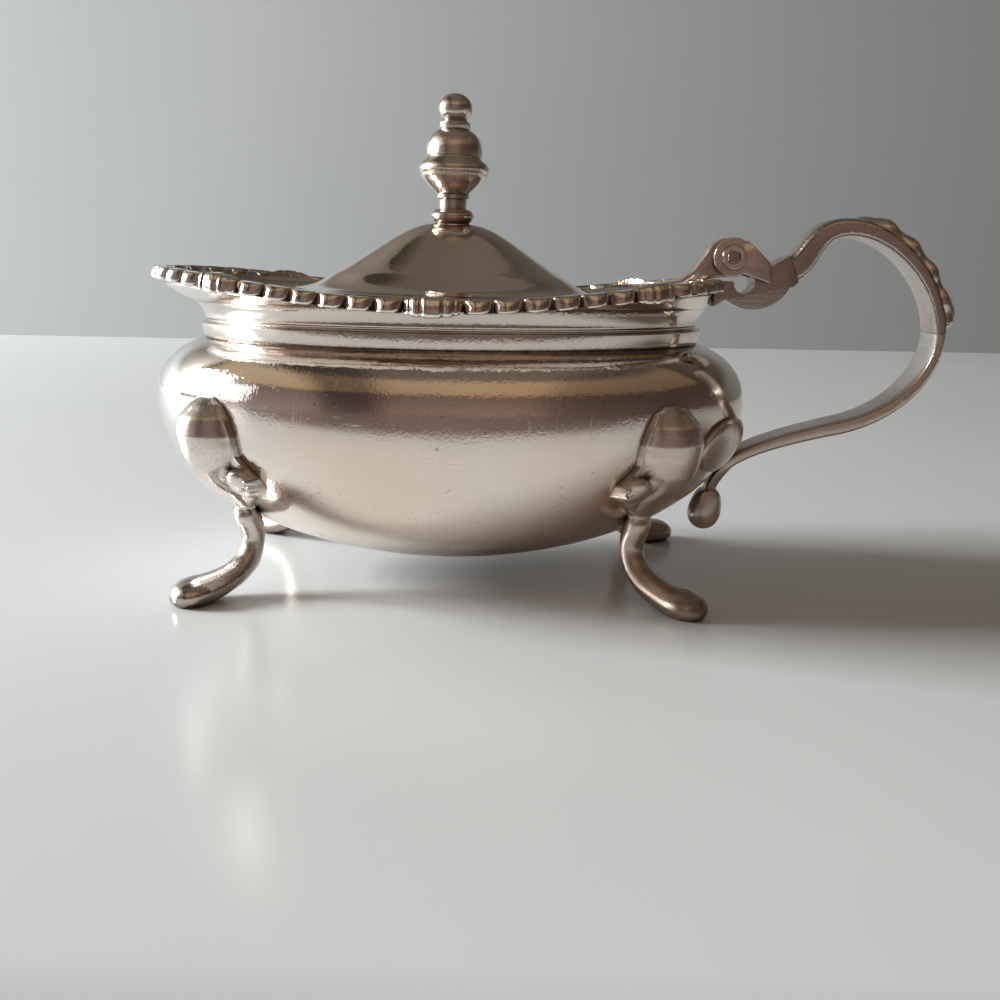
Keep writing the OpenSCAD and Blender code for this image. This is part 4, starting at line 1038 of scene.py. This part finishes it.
def make_cover():
    k = np.linspace(-math.pi / 2, math.pi / 2, 10)
    half = BRIM_EDGE / 2
    edge = np.stack([COVER_A - half + half * np.cos(k), BRIM_Z + half + half * np.sin(k)], -1)
    brim = np.linspace(COVER_A - half, DOME_FOOT, 12)[1:-1]
    under = np.linspace(DOME_FOOT - COVER_THICKNESS, COVER_A - half, 12)[1:-1]
    outside = dome_curve(DOME_FOOT, BRIM_Z + BRIM_EDGE, DOME_Z, 48)
    inside = dome_curve(DOME_FOOT - COVER_THICKNESS, BRIM_Z, DOME_Z - COVER_THICKNESS, 28)
    profile = np.concatenate([
        edge,
        np.stack([brim, 0 * brim + BRIM_Z + BRIM_EDGE], -1),
        outside,
        inside[::-1],
        np.stack([under, 0 * under + BRIM_Z], -1),
    ])
    made = turned(profile, MOUTH_OVAL)
    piece("lid_dome", made, on_lid, "lid", polished_silver, ["cover"], 50)
    r, soft = SEAT_RADIUS, SEAT_CORNER
    seat = [[0, BOSS_Z], [r, BOSS_Z], [r, SEAT_Z - soft], [r - soft, SEAT_Z], [0, SEAT_Z]]
    piece("lid_seat", turned(seat, 1, 96), on_cover, "lid", polished_silver, [], 50)


make_cover()


def make_finial():
    r, ball, ball_half = FINIAL_RADIUS, BALL_RADIUS, BALL_RADIUS * BALL_PRESS
    base = SEAT_Z + SOLDER
    stud = base - BOSS_Z + SOLDER + NUT_HEIGHT + STUD_END
    t = np.linspace(0, 1, 22)

    def arc(first, last, count):
        return np.radians(np.linspace(first, last, count))

    k, cap = arc(0, 180, 20), arc(40, 180, 28)
    parts = [
        [[0, -stud], [STUD_RADIUS, -stud], [STUD_RADIUS, 0], [2.3, 0]],
        np.stack([2.2 + 0.6 * np.sin(k), 0.1 + 1.6 * np.linspace(0, 1, 20)], -1),
        [[1.75, 1.75], [1.75, 2.9], [2.1, 3.1], [2.1, 3.5]],
        bezier([[2.0, 3.6], [2.9, 4.3], [r * 0.95, 5.4], [r * 0.95, 6.1]], t),
        np.stack([r * (0.95 + 0.05 * np.sin(arc(10, 180, 16))), np.linspace(6.15, 7.3, 16)], -1),
        [[r * 0.78, 7.9], [r * 0.76, 8.2]],
        bezier([[r * 0.79, 8.3], [r * 0.82, 10.1], [r * 0.64, 11.1], [r * 0.4, 11.5]], t),
        [[1.95, 11.7], [1.95, 12.3], [1.6, 12.5], [1.5, 12.7]],
        np.stack([ball * np.sin(cap), FINIAL_HEIGHT - ball_half - ball_half * np.cos(cap)], -1),
    ]
    made = turned(np.concatenate([np.asarray(p, float) for p in parts]) + [0, base], 1, 128)
    piece("turned_finial", made, on_cover, "lid", cast_silver, ["finial"], 40)


make_finial()

# Stage


def floor_finish():
    n = Nodes("pale_table")
    place = n.add("TexCoord").outputs["Object"]
    cloud = n.add("TexNoise", Vector=place, Scale=9.0, Detail=3.0).outputs[0]
    tone = n.mix(n.ramp(cloud, 0.3, 0.7), (0.70, 0.71, 0.72, 1), (0.74, 0.745, 0.75, 1))
    y = n.add("SeparateXYZ", Vector=place).outputs[1]
    # Painted shade: the table turns dark brown in front of the pot, towards the camera, so that the bowl
    # reflects a dark band.
    tone = n.mix(n.ramp(y, -0.088, -0.115), tone, (0.19, 0.15, 0.14, 1))
    shader = n.add("BsdfPrincipled", Base_Color=tone)
    shader.inputs["Roughness"].default_value = 0.2
    shader.inputs["Specular IOR Level"].default_value = 0.35
    return n.finish(shader)


def wall_finish():
    n = Nodes("grey_wall")
    place = n.add("TexCoord").outputs["Object"]
    part = n.add("SeparateXYZ", Vector=place)
    cloud = n.add("TexNoise", Vector=place, Scale=5.0, Detail=3.0).outputs[0]
    tone = n.mix(n.ramp(cloud, 0.3, 0.7), (0.43, 0.445, 0.455, 1), (0.46, 0.47, 0.475, 1))
    # Painted light: the wall is paler to the left, towards the window, and greyer and darker to the right.
    tone = n.mix(n.ramp(part.outputs[0], -0.15, 0.3), tone, (0.30, 0.315, 0.31, 1))
    # Painted shade: the wall turns dark brown above about 0.2 m, standing for a dark room.
    tone = n.mix(n.ramp(part.outputs[2], 0.17, 0.27), tone, (0.15, 0.13, 0.11, 1))
    shader = n.add("BsdfPrincipled", Base_Color=tone)
    shader.inputs["Roughness"].default_value = 0.9
    return n.finish(shader)


def stage():
    half, front, back, top = 1.6, -1.2, 0.43, 1.1
    outline = [(front, 0.0), (back, 0.0), (back, top)]
    points = [(x / MM, y / MM, z / MM) for y, z in outline for x in (-half, half)]
    faces = [[2 * i, 2 * i + 1, 2 * i + 3, 2 * i + 2] for i in range(len(outline) - 1)]
    sweep = mesh_object("table_and_wall", np.array(points), faces)
    sweep.data.materials.append(floor_finish())
    sweep.data.materials.append(wall_finish())
    for polygon in sweep.data.polygons:
        polygon.material_index = 1 if polygon.center[2] > 0.002 else 0


stage()


def soft_light(name, place, target, size, power, colour):
    lamp = bpy.data.lights.new(name, "AREA")
    lamp.shape = "RECTANGLE"
    lamp.size, lamp.size_y = size
    lamp.energy = power
    lamp.color = colour
    obj = add_object(name, lamp)
    obj.location = place
    obj.rotation_mode = "QUATERNION"
    obj.rotation_quaternion = (Vector(target) - Vector(place)).to_track_quat("-Z", "Y")


soft_light(
    "window", place=(-1.36, 0.09, 0.50), target=(0, 0, 0.03),
    size=(0.50, 0.44), power=42.0, colour=(0.94, 0.985, 1.0),
)
soft_light(
    "curtain", place=(-1.5, 0.05, 0.36), target=(0, 0, 0.05),
    size=(1.5, 0.6), power=3.0, colour=(0.97, 0.99, 1.0),
)


def room():
    """Soft room light: dim brown low down, a lighter warm band above it, brighter and greyer to the left."""
    world = bpy.data.worlds.new("room")
    bpy.context.scene.world = world
    world.use_nodes = True
    tree = world.node_tree
    tree.nodes.clear()
    out = tree.nodes.new("ShaderNodeOutputWorld")
    back = tree.nodes.new("ShaderNodeBackground")
    where = tree.nodes.new("ShaderNodeTexCoord")
    split = tree.nodes.new("ShaderNodeSeparateXYZ")
    tree.links.new(where.outputs["Generated"], split.inputs[0])

    def ramp(value, stops):
        node = tree.nodes.new("ShaderNodeValToRGB")
        while len(node.color_ramp.elements) < len(stops):
            node.color_ramp.elements.new(0.5)
        for element, (position, colour) in zip(node.color_ramp.elements, stops):
            element.position = position
            element.color = (*colour, 1)
        tree.links.new(value, node.inputs[0])
        return node.outputs[0]

    height = ramp(split.outputs[2], [
        (0.0, (0.24, 0.167, 0.143)),
        (0.16, (0.20, 0.137, 0.115)),
        (0.40, (0.15, 0.103, 0.084)),
        (0.46, (0.38, 0.255, 0.15)),
        (0.72, (0.40, 0.285, 0.18)),
        (0.80, (0.15, 0.12, 0.092)),
        (1.0, (0.14, 0.113, 0.088)),
    ])
    across = tree.nodes.new("ShaderNodeMapRange")
    across.inputs["From Min"].default_value = -1.0
    tree.links.new(split.outputs[0], across.inputs["Value"])
    side = ramp(across.outputs["Result"], [
        (0.0, (1.1, 1.25, 1.4)),
        (0.17, (1.1, 1.2, 1.3)),
        (0.22, (0.35, 0.37, 0.40)),
        (0.30, (0.35, 0.36, 0.38)),
        (0.36, (0.9, 0.9, 0.9)),
        (0.55, (1.0, 1.0, 1.0)),
        (0.68, (0.95, 0.93, 0.9)),
        (0.76, (0.5, 0.5, 0.5)),
        (0.85, (0.4, 0.4, 0.4)),
        (1.0, (0.3, 0.3, 0.3)),
    ])
    both = tree.nodes.new("ShaderNodeMix")
    both.data_type = "RGBA"
    both.blend_type = "MULTIPLY"
    both.inputs[0].default_value = 1.0
    tree.links.new(height, both.inputs[6])
    tree.links.new(side, both.inputs[7])
    tree.links.new(both.outputs[2], back.inputs["Color"])
    back.inputs["Strength"].default_value = 1.0
    tree.links.new(back.outputs[0], out.inputs["Surface"])


room()


def camera():
    place, lens = (-0.00135, -0.14669, 0.04107), 39.92
    pitch, roll = math.radians(12.073), math.radians(0.93)
    level = Vector((-0.0333, 0.99945, 0)).normalized()
    ahead = level * math.cos(pitch) - Vector((0, 0, 1)) * math.sin(pitch)
    right = ahead.cross(Vector((0, 0, 1))).normalized()
    up = right.cross(ahead)
    side = right * math.cos(roll) + up * math.sin(roll)
    top = up * math.cos(roll) - right * math.sin(roll)
    data = bpy.data.cameras.new("camera")
    data.lens, data.sensor_width = lens, 36.0
    data.clip_start, data.clip_end = 0.005, 20.0
    obj = add_object("camera", data)
    turn = Matrix((side, top, -ahead)).transposed().to_4x4()
    obj.matrix_world = Matrix.Translation(place) @ turn
    bpy.context.scene.camera = obj


camera()

bpy.context.scene.view_settings.view_transform = "Standard"
